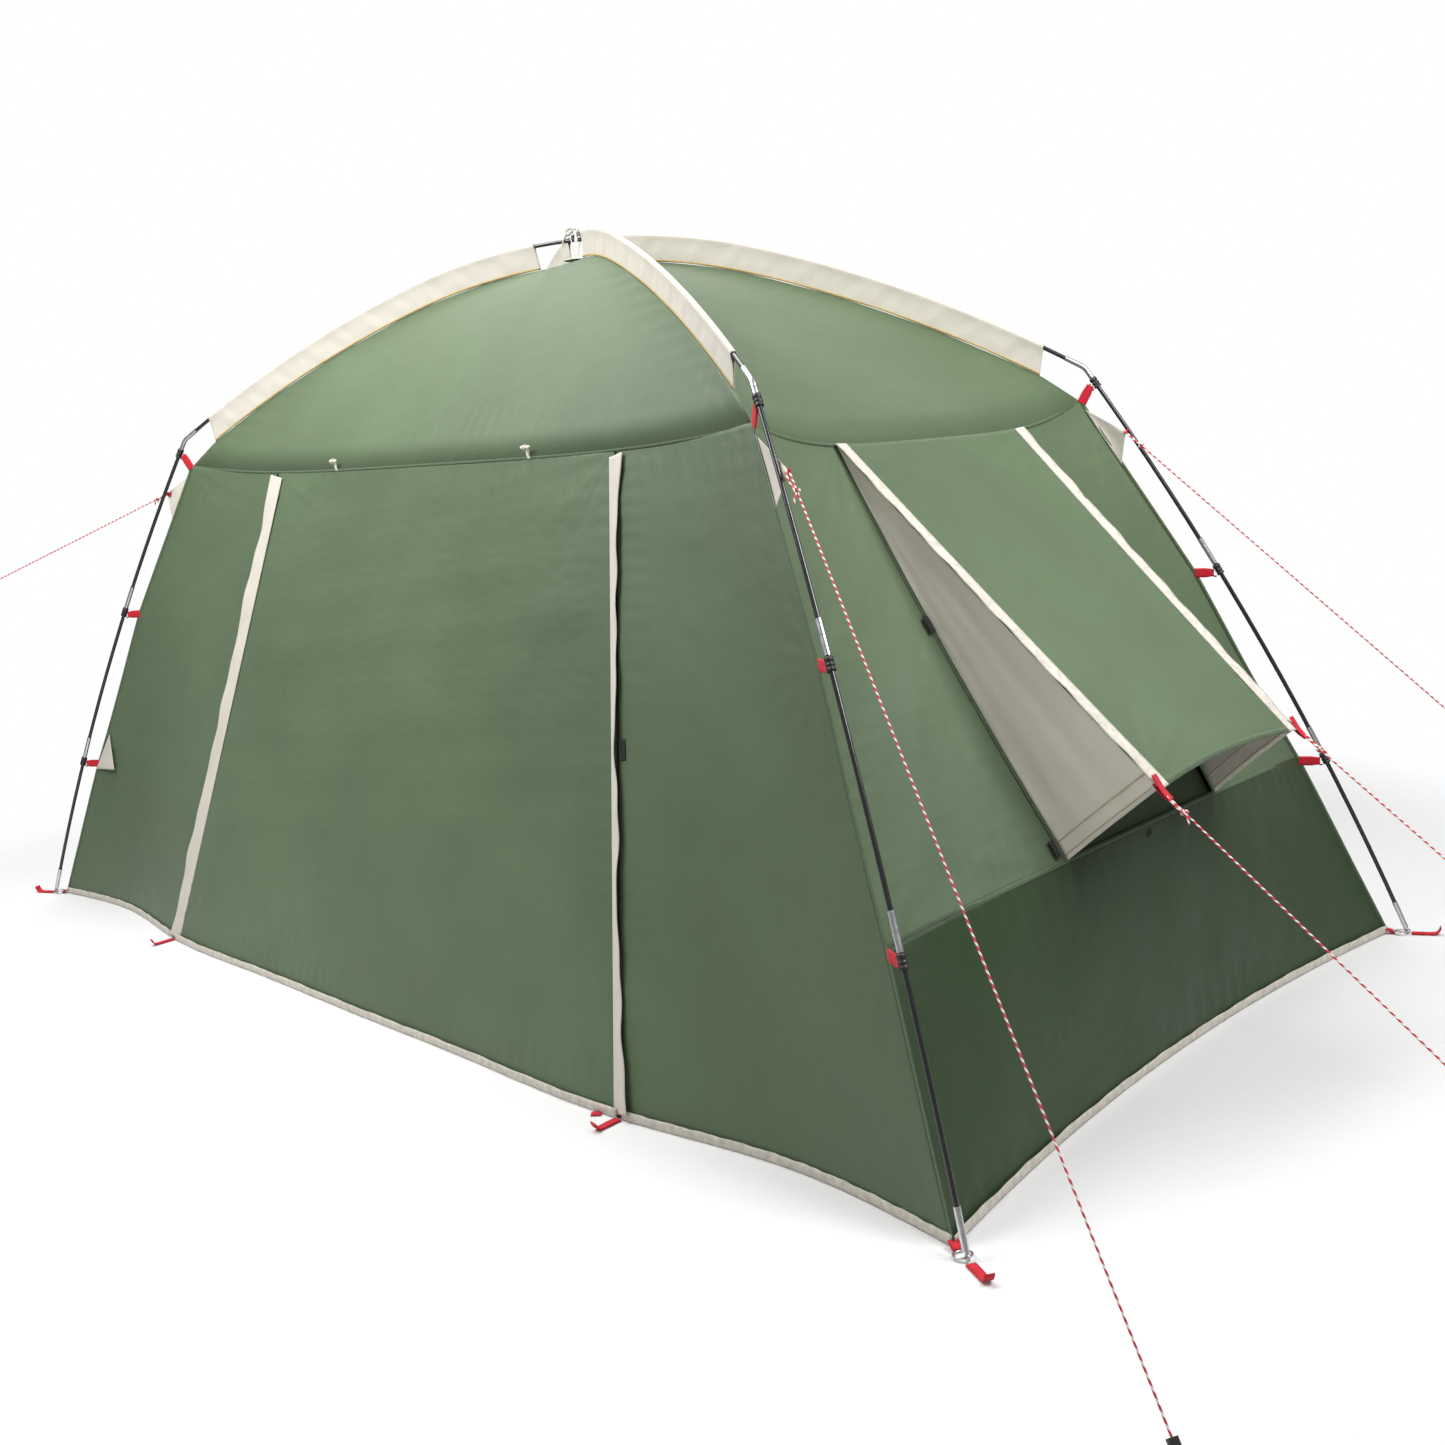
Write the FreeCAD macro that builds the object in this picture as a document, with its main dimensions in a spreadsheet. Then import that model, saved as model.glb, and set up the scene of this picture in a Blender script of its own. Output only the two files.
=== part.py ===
import FreeCAD, Part
import math
import os
from FreeCAD import Placement, Rotation, Vector

# A family tent on two crossed poles. Origin: middle of the footprint on the ground, +X along the long
# side, -Y the side with the door, +Z up. Millimetres.

SIZES = {
    # ground plan and poles
    "foot_span_x": 4000.0,
    "foot_span_y": 2040.0,
    "pole_radius": 5.5,
    "pole_bore": 3.2,
    "sleeve_metal_radius": 6.75,
    "sleeve_metal_bore": 5.65,
    "cord_core_radius": 1.2,
    "leg_radius": 8880.0,
    "leg_lean_foot": 21.9,
    "leg_lean_top": 33.0,
    "leg_run": 1750.0,
    "arch_end_reach": 1392.0,
    "arch_end_height": 1583.0,
    "arch_end_slope": 30.3,
    "arch_side_radius": 4100.0,
    "arch_turn_low": 17.5,
    "arch_turn_high": 15.45,
    # cloth
    "fabric": 2.0,
    "hem_height": 22.0,
    "seam_drop": 70.0,
    "seam_foot": 2189.0,
    "seam_top": 1410.0,
    "seam_top_height": 1478.0,
    "seam_bow": 25.0,
    "seam_gap": 4.0,
    # webbing, guy lines and small parts
    "webbing": 1.6,
    "webbing_width": 25.0,
    "guy_radius": 2.0,
    "clip_radius": 10.0,
    "clip_length": 30.0,
    "ring_radius": 17.5,
    "ring_wire": 2.2,
    "toggle_radius": 4.5,
    "toggle_length": 36.0,
    "tape": 1.5,
}
AXIS_Z = Vector(0, 0, 1)
doc = FreeCAD.newDocument("Tent")
sheet = doc.addObject("Spreadsheet::Sheet", "Sizes")
for row, (alias, value) in enumerate(SIZES.items(), start=1):
    sheet.set(f"A{row}", alias)
    sheet.set(f"B{row}", str(value))
    sheet.setAlias(f"B{row}", alias)
doc.recompute()
NODES = {}


def size(alias):
    """A driving dimension, read from the sheet."""
    return float(sheet.get(alias))


def bind(item, prop, formula):
    item.setExpression(prop, formula)


def node(label, *members):
    """One sub-part: a single object, or a group of alike solids kept as separate solids."""
    if len(members) == 1:
        part = members[0]
    else:
        part = doc.addObject("Part::Compound", label)
        part.Links = list(members)
    part.Label = label
    NODES[label] = part
    return part


def shape(name, geometry):
    helper = doc.addObject("Part::Feature", name)
    helper.Shape = geometry
    return helper


def turned(base, axis):
    """Placement at base with local Z along axis."""
    return Placement(Vector(base), Rotation(AXIS_Z, Vector(axis)))


def framed(base, x_axis, z_axis):
    """Placement at base with local X along x_axis and local Z as near as it can be to z_axis."""
    x_axis = Vector(x_axis).normalize()
    y_axis = Vector(z_axis).cross(x_axis).normalize()
    return Placement(Vector(base), Rotation(x_axis, y_axis, x_axis.cross(y_axis), "XYZ"))


def cylinder(name, radius, height, place):
    rod = doc.addObject("Part::Cylinder", name)
    bind(rod, "Radius", radius)
    bind(rod, "Height", height)
    rod.Placement = place
    return rod


def box(name, length, width, height, place):
    """A plate centred on its placement along X and Y, standing on it along Z."""
    plate = doc.addObject("Part::Box", name)
    bind(plate, "Length", length)
    bind(plate, "Width", width)
    bind(plate, "Height", height)
    doc.recompute()
    middle = Vector(-plate.Length.Value / 2, -plate.Width.Value / 2, 0)
    plate.Placement = place.multiply(Placement(middle, Rotation()))
    return plate


def torus(name, radius, wire, place):
    ring = doc.addObject("Part::Torus", name)
    bind(ring, "Radius1", radius)
    bind(ring, "Radius2", wire)
    ring.Placement = place
    return ring


def cut(name, base, tool):
    result = doc.addObject("Part::Cut", name)
    result.Base = base
    result.Tool = tool
    return result


def fuse(name, first, second):
    result = doc.addObject("Part::Fuse", name)
    result.Base = first
    result.Tool = second
    return result


def extruded(name, face, direction, length="Sizes.fabric", middle=False):
    """A face given its thickness along one direction."""
    panel = doc.addObject("Part::Extrusion", name)
    panel.Base = shape(name + "_face", face)
    panel.DirMode = "Custom"
    panel.Dir = Vector(direction)
    bind(panel, "LengthFwd", length)
    panel.Symmetric = middle
    panel.Solid = True
    return panel


def sweep(name, edges, radius):
    """A round bar along a chain of edges, its radius bound to the sheet."""
    spine = shape(name + "_line", Part.Wire(edges))
    first = edges[0]
    start = first.valueAt(first.FirstParameter)
    heading = first.tangentAt(first.FirstParameter)
    section = doc.addObject("Part::Circle", name + "_section")
    bind(section, "Radius", radius)
    section.Placement = turned(start, heading)
    bar = doc.addObject("Part::Sweep", name)
    bar.Sections = [section]
    bar.Spine = (spine, [])
    bar.Solid = True
    bar.Frenet = False
    return bar


def tube(name, edges, radius, bore, place=Placement()):
    """A hollow bar along a chain of edges."""
    outer = sweep(name + "_outer", edges, radius)
    inner = sweep(name + "_inner", edges, bore)
    hollow = cut(name, outer, inner)
    hollow.Placement = place
    return hollow


# --- lines of the frame, each in its own upright plane: X outward from the middle, Z up ---
def leg_at(run):
    """Point and inward heading of a leg, a given length up from its foot."""
    reach = math.hypot(size("foot_span_x"), size("foot_span_y")) / 2
    foot = math.radians(size("leg_lean_foot"))
    bend = size("leg_radius")
    lean = foot + run / bend
    x = reach + bend * (math.cos(lean) - math.cos(foot))
    z = bend * (math.sin(lean) - math.sin(foot))
    return Vector(x, 0, z), Vector(-math.sin(lean), 0, math.cos(lean))


class Arch:
    """Half of an arch pole: a tight arc at the crossing, then a flatter arc down to the elbow."""

    def __init__(self, top_turn):
        end_slope = math.radians(size("arch_end_slope"))
        self.top_turn = math.radians(top_turn)
        self.side = size("arch_side_radius")
        gap = self.side * math.sin(end_slope) - size("arch_end_reach")
        self.top = self.side - gap / math.sin(self.top_turn)
        self.top_run = self.top * self.top_turn
        self.run = self.top_run + self.side * (end_slope - self.top_turn)
        drop = self.side * (math.cos(self.top_turn) - math.cos(end_slope))
        self.height = size("arch_end_height") + self.top * (1 - math.cos(self.top_turn)) + drop

    def at(self, run):
        """Point and outward heading, a given length from the crossing. Negative is the far half."""
        side = math.copysign(1.0, run)
        run = abs(run)
        turn = min(run, self.top_run) / self.top
        x = self.top * math.sin(turn)
        z = self.height - self.top * (1 - math.cos(turn))
        if run > self.top_run:
            turn = self.top_turn + (run - self.top_run) / self.side
            x += self.side * (math.sin(turn) - math.sin(self.top_turn))
            z -= self.side * (math.cos(self.top_turn) - math.cos(turn))
        heading = Vector(math.cos(turn), 0, -side * math.sin(turn))
        return Vector(side * x, 0, z), heading


def arcs(at, start, end, breaks=()):
    """Arc edges of a line from one length along it to another, split where its radius changes."""
    stops = [start] + [b for b in sorted(breaks) if start < b < end] + [end]
    edges = []
    for first, last in zip(stops, stops[1:]):
        points = [at(first)[0], at((first + last) / 2)[0], at(last)[0]]
        edges.append(Part.Arc(*points).toShape())
    return edges


HALF_TURN = math.degrees(math.atan2(size("foot_span_y"), size("foot_span_x")))
CORNERS = {
    "front_right": -HALF_TURN,
    "back_right": HALF_TURN,
    "back_left": 180 - HALF_TURN,
    "front_left": 180 + HALF_TURN,
}
ARCH_LOW = Arch(size("arch_turn_low"))
ARCH_HIGH = Arch(size("arch_turn_high"))
ARCHES = {"low": (ARCH_LOW, HALF_TURN), "high": (ARCH_HIGH, -HALF_TURN)}
CORNER_ARCH = {
    "front_right": ARCH_HIGH,
    "back_right": ARCH_LOW,
    "back_left": ARCH_HIGH,
    "front_left": ARCH_LOW,
}


def corner_place(corner):
    return Placement(Vector(), Rotation(AXIS_Z, CORNERS[corner]))


def placed(corner, point):
    """A point of a corner's upright plane, in the tent's frame."""
    return corner_place(corner).multVec(Vector(point))


# --- arch poles: five jointed lengths each, with metal sleeves over the joints ---
SECTION_GAP = 0.4
JOINT_SLEEVE = 78.0
ferrules = []
for name, (arch, azimuth) in ARCHES.items():
    place = Placement(Vector(), Rotation(AXIS_Z, azimuth))
    length = 2 * arch.run / 5
    bends = (-arch.top_run, arch.top_run)
    sections = []
    for index in range(5):
        start = -arch.run + index * length + SECTION_GAP / 2
        edges = arcs(arch.at, start, start + length - SECTION_GAP, bends)
        sections.append(
            tube(f"arch_{name}_{index}", edges, "Sizes.pole_radius", "Sizes.pole_bore", place)
        )
    node(f"arch_pole_{name}", *sections)
    for index in range(1, 5):
        middle = -arch.run + index * length
        edges = arcs(arch.at, middle - JOINT_SLEEVE / 2, middle + JOINT_SLEEVE / 2)
        ferrules.append(
            tube(
                f"arch_ferrule_{name}_{index}",
                edges,
                "Sizes.sleeve_metal_radius",
                "Sizes.sleeve_metal_bore",
                place,
            )
        )

# --- elbows: bent metal tubes that take the arch end and the leg top ---
LEG_OVERLAP, ARCH_OVERLAP = 18.0, 14.0
ELBOW_BEND = 38.0
leg_top, leg_heading = leg_at(size("leg_run"))
arch_end, arch_heading = ARCH_LOW.at(ARCH_LOW.run)
offset = arch_end.sub(leg_top)
slant = leg_heading.x * arch_heading.z - leg_heading.z * arch_heading.x
along_leg = (offset.x * arch_heading.z - offset.z * arch_heading.x) / slant
elbow_corner = leg_top + leg_heading * along_leg
to_arch = arch_heading * -1
half_bend = leg_heading.getAngle(to_arch) / 2
setback = ELBOW_BEND * math.tan(half_bend)
bend_in = elbow_corner - leg_heading * setback
bend_out = elbow_corner + to_arch * setback
bisector = (to_arch - leg_heading).normalize()
bend_middle = elbow_corner + bisector * (ELBOW_BEND * (1 / math.cos(half_bend) - 1))
ELBOW_LINE = [
    Part.LineSegment(leg_top - leg_heading * LEG_OVERLAP, bend_in).toShape(),
    Part.Arc(bend_in, bend_middle, bend_out).toShape(),
    Part.LineSegment(bend_out, arch_end + arch_heading * -ARCH_OVERLAP).toShape(),
]
elbows = []
for corner in CORNERS:
    elbow = tube(
        f"elbow_{corner}",
        ELBOW_LINE,
        "Sizes.sleeve_metal_radius",
        "Sizes.sleeve_metal_bore",
        corner_place(corner),
    )
    elbows.append(elbow)
node("elbows", *elbows)

# --- legs: three jointed lengths, metal joint sleeves, metal foot tubes, and an elastic cord inside ---
LEG_START = 50.0
LEG_JOINTS = (590.0, 1175.0)
FOOT_TUBE = (19.0, 97.0)
CLIP_RUNS = (534.0, 1118.0, 1716.0)
foot_tubes, shock_cords = [], []
for corner in CORNERS:
    place = corner_place(corner)
    stops = [LEG_START, *LEG_JOINTS, size("leg_run")]
    sections = []
    for index, (start, end) in enumerate(zip(stops, stops[1:])):
        edges = arcs(leg_at, start + SECTION_GAP / 2, end - SECTION_GAP / 2)
        name = f"leg_{corner}_{index}"
        sections.append(tube(name, edges, "Sizes.pole_radius", "Sizes.pole_bore", place))
    node(f"leg_{corner}", *sections)
    spans = [(j - JOINT_SLEEVE / 2, j + JOINT_SLEEVE / 2) for j in LEG_JOINTS]
    for index, (start, end) in enumerate(spans):
        name = f"leg_ferrule_{corner}_{index}"
        edges = arcs(leg_at, start, end)
        metal = tube(name, edges, "Sizes.sleeve_metal_radius", "Sizes.sleeve_metal_bore", place)
        ferrules.append(metal)
    foot = arcs(leg_at, *FOOT_TUBE)
    name = f"foot_tube_{corner}"
    metal = tube(name, foot, "Sizes.sleeve_metal_radius", "Sizes.sleeve_metal_bore", place)
    foot_tubes.append(metal)
    core = sweep(
        f"shock_cord_{corner}",
        arcs(leg_at, LEG_START + 12, size("leg_run") - 4),
        "Sizes.cord_core_radius",
    )
    core.Placement = place
    shock_cords.append(core)
node("pole_ferrules", *ferrules)
node("foot_tubes", *foot_tubes)
node("shock_cords", *shock_cords)

# --- foot pins: a pin up the pole end, with an eye that stands on the ground and holds a loose ring ---
EYE_RADIUS = 6.0
EYE_RUN = 9.0
PIN_RADIUS = 2.9
PIN_LENGTH = 46.0
RING_TILT = 9.9
eye_height = EYE_RADIUS + size("ring_wire")
pins, rings = [], []
for corner in CORNERS:
    place = corner_place(corner)
    heading = leg_at(EYE_RUN)[1]
    centre = Vector(leg_at(EYE_RUN)[0].x, 0, eye_height)
    pin = cylinder(
        f"pin_{corner}",
        str(PIN_RADIUS),
        str(PIN_LENGTH - EYE_RUN - EYE_RADIUS),
        turned(centre + heading * EYE_RADIUS, heading),
    )
    eye = torus(f"eye_{corner}", str(EYE_RADIUS), "Sizes.ring_wire", turned(centre, Vector(0, 1, 0)))
    both = fuse(f"foot_pin_{corner}", pin, eye)
    both.Placement = place
    pins.append(both)
    tilt = math.radians(RING_TILT)
    ring_axis = Vector(-math.sin(tilt), 0, math.cos(tilt))
    inward = Vector(-math.cos(tilt), 0, -math.sin(tilt))
    ring_centre = centre + inward * size("ring_radius")
    ring = torus(f"ring_{corner}", "Sizes.ring_radius", "Sizes.ring_wire", turned(ring_centre, ring_axis))
    ring.Placement = place.multiply(ring.Placement)
    rings.append(ring)
node("foot_pins", *pins)
node("ground_rings", *rings)

# --- seams of the cloth: along the arches just under the poles, then down inside each leg ---
SEAM_END_RUN = 1452.0
ROOF_RUNS = (24.0, 130.0, 330.0, 600.0, 870.0, 1140.0, 1400.0)


def seam_under_arch(arch, run):
    """A point of the roof seam, in the arch's plane."""
    point, heading = arch.at(run)
    normal = Vector(-heading.z, 0, heading.x)
    return point - normal * size("seam_drop")


def corner_seam(height):
    """How far out the corner seam stands at a given height."""
    part = height / size("seam_top_height")
    straight = size("seam_foot") + (size("seam_top") - size("seam_foot")) * part
    return straight + 4 * size("seam_bow") * part * (1 - part)


def beside(corner, reach, height, toward):
    """A point beside a corner's seam, set back from it by the seam gap towards a neighbouring panel."""
    turn = math.radians(CORNERS[corner])
    out = Vector(math.cos(turn), math.sin(turn), 0)
    across = Vector(-out.y, out.x, 0) * toward
    return out * reach + across * size("seam_gap") + AXIS_Z * height


def surface(rows):
    """A smooth face through rows of points."""
    face = Part.BSplineSurface()
    face.interpolate([[Vector(p) for p in line] for line in rows])
    return face.toShape()


# --- roof: four panels, each between two arch seams and dipping between them ---
ACROSS = (-1.0, -0.5, 0.0, 0.5, 1.0)
ROOF = {
    "front": ("front_left", "front_right", Vector(0, 40, -43)),
    "right": ("front_right", "back_right", Vector(-6, 0, -68)),
    "back": ("back_right", "back_left", Vector(0, -40, -43)),
    "left": ("back_left", "front_left", Vector(6, 0, -68)),
}


def roof_row(side, run):
    """One row of a roof panel, from its one seam to its other. A run past the arch is the bottom edge."""
    first, second, dip = ROOF[side]
    ends = []
    for corner, toward in ((first, 1), (second, -1)):
        if run is None:
            reach, height = size("seam_top"), size("seam_top_height")
        else:
            point = seam_under_arch(CORNER_ARCH[corner], run)
            reach, height = point.x, point.z
        ends.append(beside(corner, reach, height, toward))
    share = (1.0 if run is None else run / SEAM_END_RUN) ** 1.2
    row = []
    for u in ACROSS:
        line = ends[0] * ((1 - u) / 2) + ends[1] * ((1 + u) / 2)
        row.append(line + dip * ((1 - u * u) * share))
    return row


for side in ROOF:
    rows = [roof_row(side, run) for run in ROOF_RUNS] + [roof_row(side, None)]
    node(f"roof_{side}", extruded(f"roof_{side}", surface(rows), -AXIS_Z))

# --- sleeves: flattened cloth tubes that hold the arch poles and hang from them down to the roof seam ---
SLEEVE_TOP = 12.0
SLEEVE_FOOT = 1.6
SLEEVE_START = 88.0
SLEEVE_CLEAR = 83.0


def sleeve_profile(arch, run, top, foot, depth):
    """A closed teardrop around the pole, square to it."""
    point, heading = arch.at(run)
    normal = Vector(-heading.z, 0, heading.x)
    side = Vector(0, 1, 0)
    left, right = point - side * top, point + side * top
    low_left = point - side * foot - normal * depth
    low_right = point + side * foot - normal * depth
    edges = [
        Part.Arc(right, point + normal * top, left).toShape(),
        Part.LineSegment(left, low_left).toShape(),
        Part.LineSegment(low_left, low_right).toShape(),
        Part.LineSegment(low_right, right).toShape(),
    ]
    return Part.Wire(edges)


def sleeve_body(name, arch, top, foot, depth):
    start, end = SLEEVE_START, arch.run - SLEEVE_CLEAR
    body = doc.addObject("Part::Sweep", name)
    profile = sleeve_profile(arch, start, top, foot, depth)
    body.Sections = [shape(name + "_profile", profile)]
    line = Part.Wire(arcs(arch.at, start, end, (arch.top_run,)))
    body.Spine = (shape(name + "_line", line), [])
    body.Solid = True
    body.Frenet = False
    return body


for corner in CORNERS:
    arch = CORNER_ARCH[corner]
    wall = size("tape")
    drop = size("seam_drop") - 2
    outer = sleeve_body(f"sleeve_outer_{corner}", arch, SLEEVE_TOP, SLEEVE_FOOT, drop)
    inner = sleeve_body(f"sleeve_inner_{corner}", arch, SLEEVE_TOP - wall, 0.6, drop - 6)
    sleeve = cut(f"sleeve_{corner}", outer, inner)
    sleeve.Placement = corner_place(corner)
    node(f"sleeve_{corner}", sleeve)

# --- crossing: a webbing loop round both poles, tied down to a round patch at the roof's top ---
PATCH_RADIUS = 40.0
roof_top = seam_under_arch(ARCH_HIGH, ROOF_RUNS[0]).z
crossing = (ARCH_LOW.height + ARCH_HIGH.height) / 2
loop_inside = ARCH_HIGH.height - ARCH_LOW.height + 2 * size("pole_radius") + 3
loop_base = Vector(0, 0, crossing - loop_inside / 2 - 2)
TIE_WIDTH = 26.0
TIE_REACH = 32.0
TIE_THICK = 2.0
STRAP_WIDTH = 24.0
loop_height = loop_inside + 2 * TIE_THICK
loop_outer = box("tie_outer", str(TIE_WIDTH), str(TIE_REACH), str(loop_height), Placement(loop_base, Rotation()))
hole_place = Placement(loop_base + AXIS_Z * TIE_THICK, Rotation())
hole_reach = TIE_REACH - 2 * TIE_THICK
loop_hole = box("tie_hole", str(TIE_WIDTH + 4), str(hole_reach), str(loop_inside), hole_place)
strap_foot = roof_top + 5
strap_height = loop_base.z - strap_foot + 1
strap_place = Placement(Vector(0, 0, strap_foot), Rotation())
strap = box("tie_strap", str(STRAP_WIDTH), str(2 * TIE_THICK), str(strap_height), strap_place)
node("apex_tie", fuse("apex_tie", cut("tie_loop", loop_outer, loop_hole), strap))
patch_place = Placement(Vector(0, 0, roof_top + 1), Rotation())
node("apex_patch", cylinder("apex_patch", str(PATCH_RADIUS), "3", patch_place))


# --- walls. A rib is a line of a wall from the ground to its top edge ---
def rib(bottom, top, heights, bow=Vector()):
    """Points of a nearly straight rib at given shares of its height, bowed in the middle."""
    bottom, top = Vector(*bottom), Vector(*top)
    return [bottom + (top - bottom) * t + bow * (4 * t * (1 - t)) for t in heights]


def corner_rib(corner, toward, low, high, count):
    steps = [low + (high - low) * k / (count - 1) for k in range(count)]
    return [beside(corner, corner_seam(z), z, toward) for z in steps]


EDGE_DROP = 7.0
HEM_TOP = size("hem_height") + 3
WALL_TOP = size("seam_top_height") - EDGE_DROP
STEPS = (0.0, 0.35, 0.68, 1.0)
ZIP_FOOT = (1070.0, -1012.0, 0.0)
ZIP_HEAD = (780.0, -600.0, 1430.0)
ZIP_GAP = 7.0
SIDE_FOOT = (1520.0, -955.0, 0.0)
SIDE_HEAD = (1020.0, -612.0, 1455.0)
MID_FOOT = (0.0, -1020.0, 0.0)
MID_HEAD = (0.0, -600.0, 1435.0)


def trimmed(foot, head, low, drop):
    """The ends of a rib cut short: from a height above the ground to a drop below its top."""
    foot, head = Vector(*foot), Vector(*head)
    rise = (head - foot) * (1 / head.z)
    return foot + rise * low, head - rise * drop


def straight_rib(foot, head, shift=0.0, bow=0.0):
    """A front wall rib between the hem and the roof edge, moved sideways and bowed outward."""
    bottom, top = trimmed(foot, head, HEM_TOP, EDGE_DROP)
    moved = Vector(shift, 0, 0)
    return rib(bottom + moved, top + moved, STEPS, Vector(0, -bow, 0))


def mirrored_x(points):
    return [Vector(-p.x, p.y, p.z) for p in points]


def mirrored_y(points):
    return [Vector(p.x, -p.y, p.z) for p in points]


front_right_ribs = [
    straight_rib(ZIP_FOOT, ZIP_HEAD, ZIP_GAP),
    straight_rib(SIDE_FOOT, SIDE_HEAD, 0, 18),
    corner_rib("front_right", -1, HEM_TOP, WALL_TOP, len(STEPS)),
]
front_left_ribs = [mirrored_x(points) for points in front_right_ribs]
door_half = [
    straight_rib(MID_FOOT, MID_HEAD),
    straight_rib((540, -1018, 0), (395, -600, 1433)),
    straight_rib(ZIP_FOOT, ZIP_HEAD, -ZIP_GAP),
]
door_ribs = [mirrored_x(points) for points in door_half[:0:-1]] + door_half
back_ribs = [
    corner_rib("back_left", -1, HEM_TOP, WALL_TOP, len(STEPS)),
    mirrored_x(mirrored_y(straight_rib(SIDE_FOOT, SIDE_HEAD, 0, 18))),
    mirrored_x(mirrored_y(straight_rib(ZIP_FOOT, ZIP_HEAD))),
    mirrored_y(straight_rib(MID_FOOT, MID_HEAD)),
    mirrored_y(straight_rib(ZIP_FOOT, ZIP_HEAD)),
    mirrored_y(straight_rib(SIDE_FOOT, SIDE_HEAD, 0, 18)),
    corner_rib("back_right", 1, HEM_TOP, WALL_TOP, len(STEPS)),
]
INTO_FRONT = Vector(0, 1, 0)
INTO_BACK = Vector(0, -1, 0)
node("front_wall_right", extruded("front_wall_right", surface(front_right_ribs), INTO_FRONT))
node("front_wall_left", extruded("front_wall_left", surface(front_left_ribs), INTO_FRONT))
node("door_panel", extruded("door_panel", surface(door_ribs), INTO_FRONT))
node("back_wall", extruded("back_wall", surface(back_ribs), INTO_BACK))

# --- end walls: a darker band at the bottom, and on the right a window between two upper panels ---
BAND_CORNER = 490.0
BAND_MIDDLE = 530.0
END_FOOT = 1868.0
END_SEAM = 1798.0
WINDOW_HALF_LOW = 330.0
WINDOW_HIGH = Vector(1250, 365, 1410)
LAP = 5.0
BAND_STEPS = (0.0, 0.5, 1.0)
BAND_SHARES = (-0.7, -0.35, 0.0, 0.35, 0.7)
COS_TURN = math.cos(math.radians(HALF_TURN))
SIN_TURN = math.sin(math.radians(HALF_TURN))


def end_hem(share):
    """The end wall's foot line, out at the corners and drawn in at the middle. Share is -1 to 1."""
    reach = corner_seam(0)
    return Vector(END_FOOT + (reach * COS_TURN - END_FOOT) * share**2, reach * SIN_TURN * share, 0)


def band_seam(share):
    """The seam between the band and the wall above it, highest and furthest out at the middle."""
    reach = corner_seam(BAND_CORNER)
    x = END_SEAM + (reach * COS_TURN - END_SEAM) * share**2
    z = BAND_MIDDLE + (BAND_CORNER - BAND_MIDDLE) * share**2
    return Vector(x, reach * SIN_TURN * share, z)


def band_ribs():
    """Ribs of the band, from the front corner to the back corner."""
    ribs = [corner_rib("front_right", 1, HEM_TOP, BAND_CORNER - LAP, len(BAND_STEPS))]
    for share in BAND_SHARES:
        bottom, top = trimmed(end_hem(share), band_seam(share), HEM_TOP, LAP)
        ribs.append(rib(bottom, top, BAND_STEPS, Vector(6, 0, 0)))
    ribs.append(corner_rib("back_right", -1, HEM_TOP, BAND_CORNER - LAP, len(BAND_STEPS)))
    return ribs


seam_half = corner_seam(BAND_CORNER) * SIN_TURN
seam_top_half = size("seam_top") * SIN_TURN
WINDOW_LOW = band_seam(WINDOW_HALF_LOW / seam_half)


def window_rib(outside):
    """The window's rear edge, moved sideways by a gap."""
    low = WINDOW_LOW + Vector(0, outside, 0)
    high = WINDOW_HIGH + Vector(0, outside, 0)
    fall = (high - low).normalize()
    return rib(low + fall * LAP, high - fall * EDGE_DROP, STEPS)


def middle_rib(share):
    """A rib half way between the window and the back corner, from the band's seam to the roof."""
    low = band_seam(share)
    high = Vector(size("seam_top") * COS_TURN, seam_top_half, WALL_TOP)
    high = (high + WINDOW_HIGH) * 0.5
    fall = (high - low).normalize()
    return rib(low + fall * LAP, high, STEPS, Vector(10, 0, 0))


rear_window = window_rib(LAP)
rear_corner = corner_rib("back_right", -1, BAND_CORNER + LAP, WALL_TOP, len(STEPS))
rear_middle = middle_rib((WINDOW_HALF_LOW / seam_half + 1) / 2)
rear_ribs = [rear_window, rear_middle, rear_corner]
front_ribs = [mirrored_y(points) for points in rear_ribs[::-1]]
INTO_RIGHT = Vector(-1, 0, 0)
INTO_LEFT = Vector(1, 0, 0)
node("right_wall_band", extruded("right_wall_band", surface(band_ribs()), INTO_RIGHT))
node("right_wall_rear", extruded("right_wall_rear", surface(rear_ribs), INTO_RIGHT))
node("right_wall_front", extruded("right_wall_front", surface(front_ribs), INTO_RIGHT))
window_low, window_high = window_rib(-2.0)[0], window_rib(-2.0)[-1]
window_outline = [
    window_low,
    window_high,
    Vector(window_high.x, -window_high.y, window_high.z),
    Vector(window_low.x, -window_low.y, window_low.z),
    window_low,
]
window_face = Part.Face(Part.makePolygon(window_outline))
node("window_mesh", extruded("window_mesh", window_face, INTO_RIGHT))
left_band = [mirrored_x(points) for points in band_ribs()]
left_ribs = [corner_rib("back_right", -1, BAND_CORNER + LAP, WALL_TOP, len(STEPS))]
roof_dip = ROOF["right"][2]
for share in (0.5, 0.0, -0.5):
    low, high = band_seam(share), Vector(size("seam_top") * COS_TURN, seam_top_half * share, WALL_TOP)
    high = high + roof_dip * (1 - share**2)
    fall = (high - low).normalize()
    left_ribs.append(rib(low + fall * LAP, high, STEPS))
left_ribs.append(corner_rib("front_right", 1, BAND_CORNER + LAP, WALL_TOP, len(STEPS)))
left_rows = [mirrored_x(points) for points in left_ribs]
left_lower = extruded("left_wall_band", surface(left_band), INTO_LEFT)
node("left_wall", left_lower, extruded("left_wall_upper", surface(left_rows), INTO_LEFT))


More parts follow.
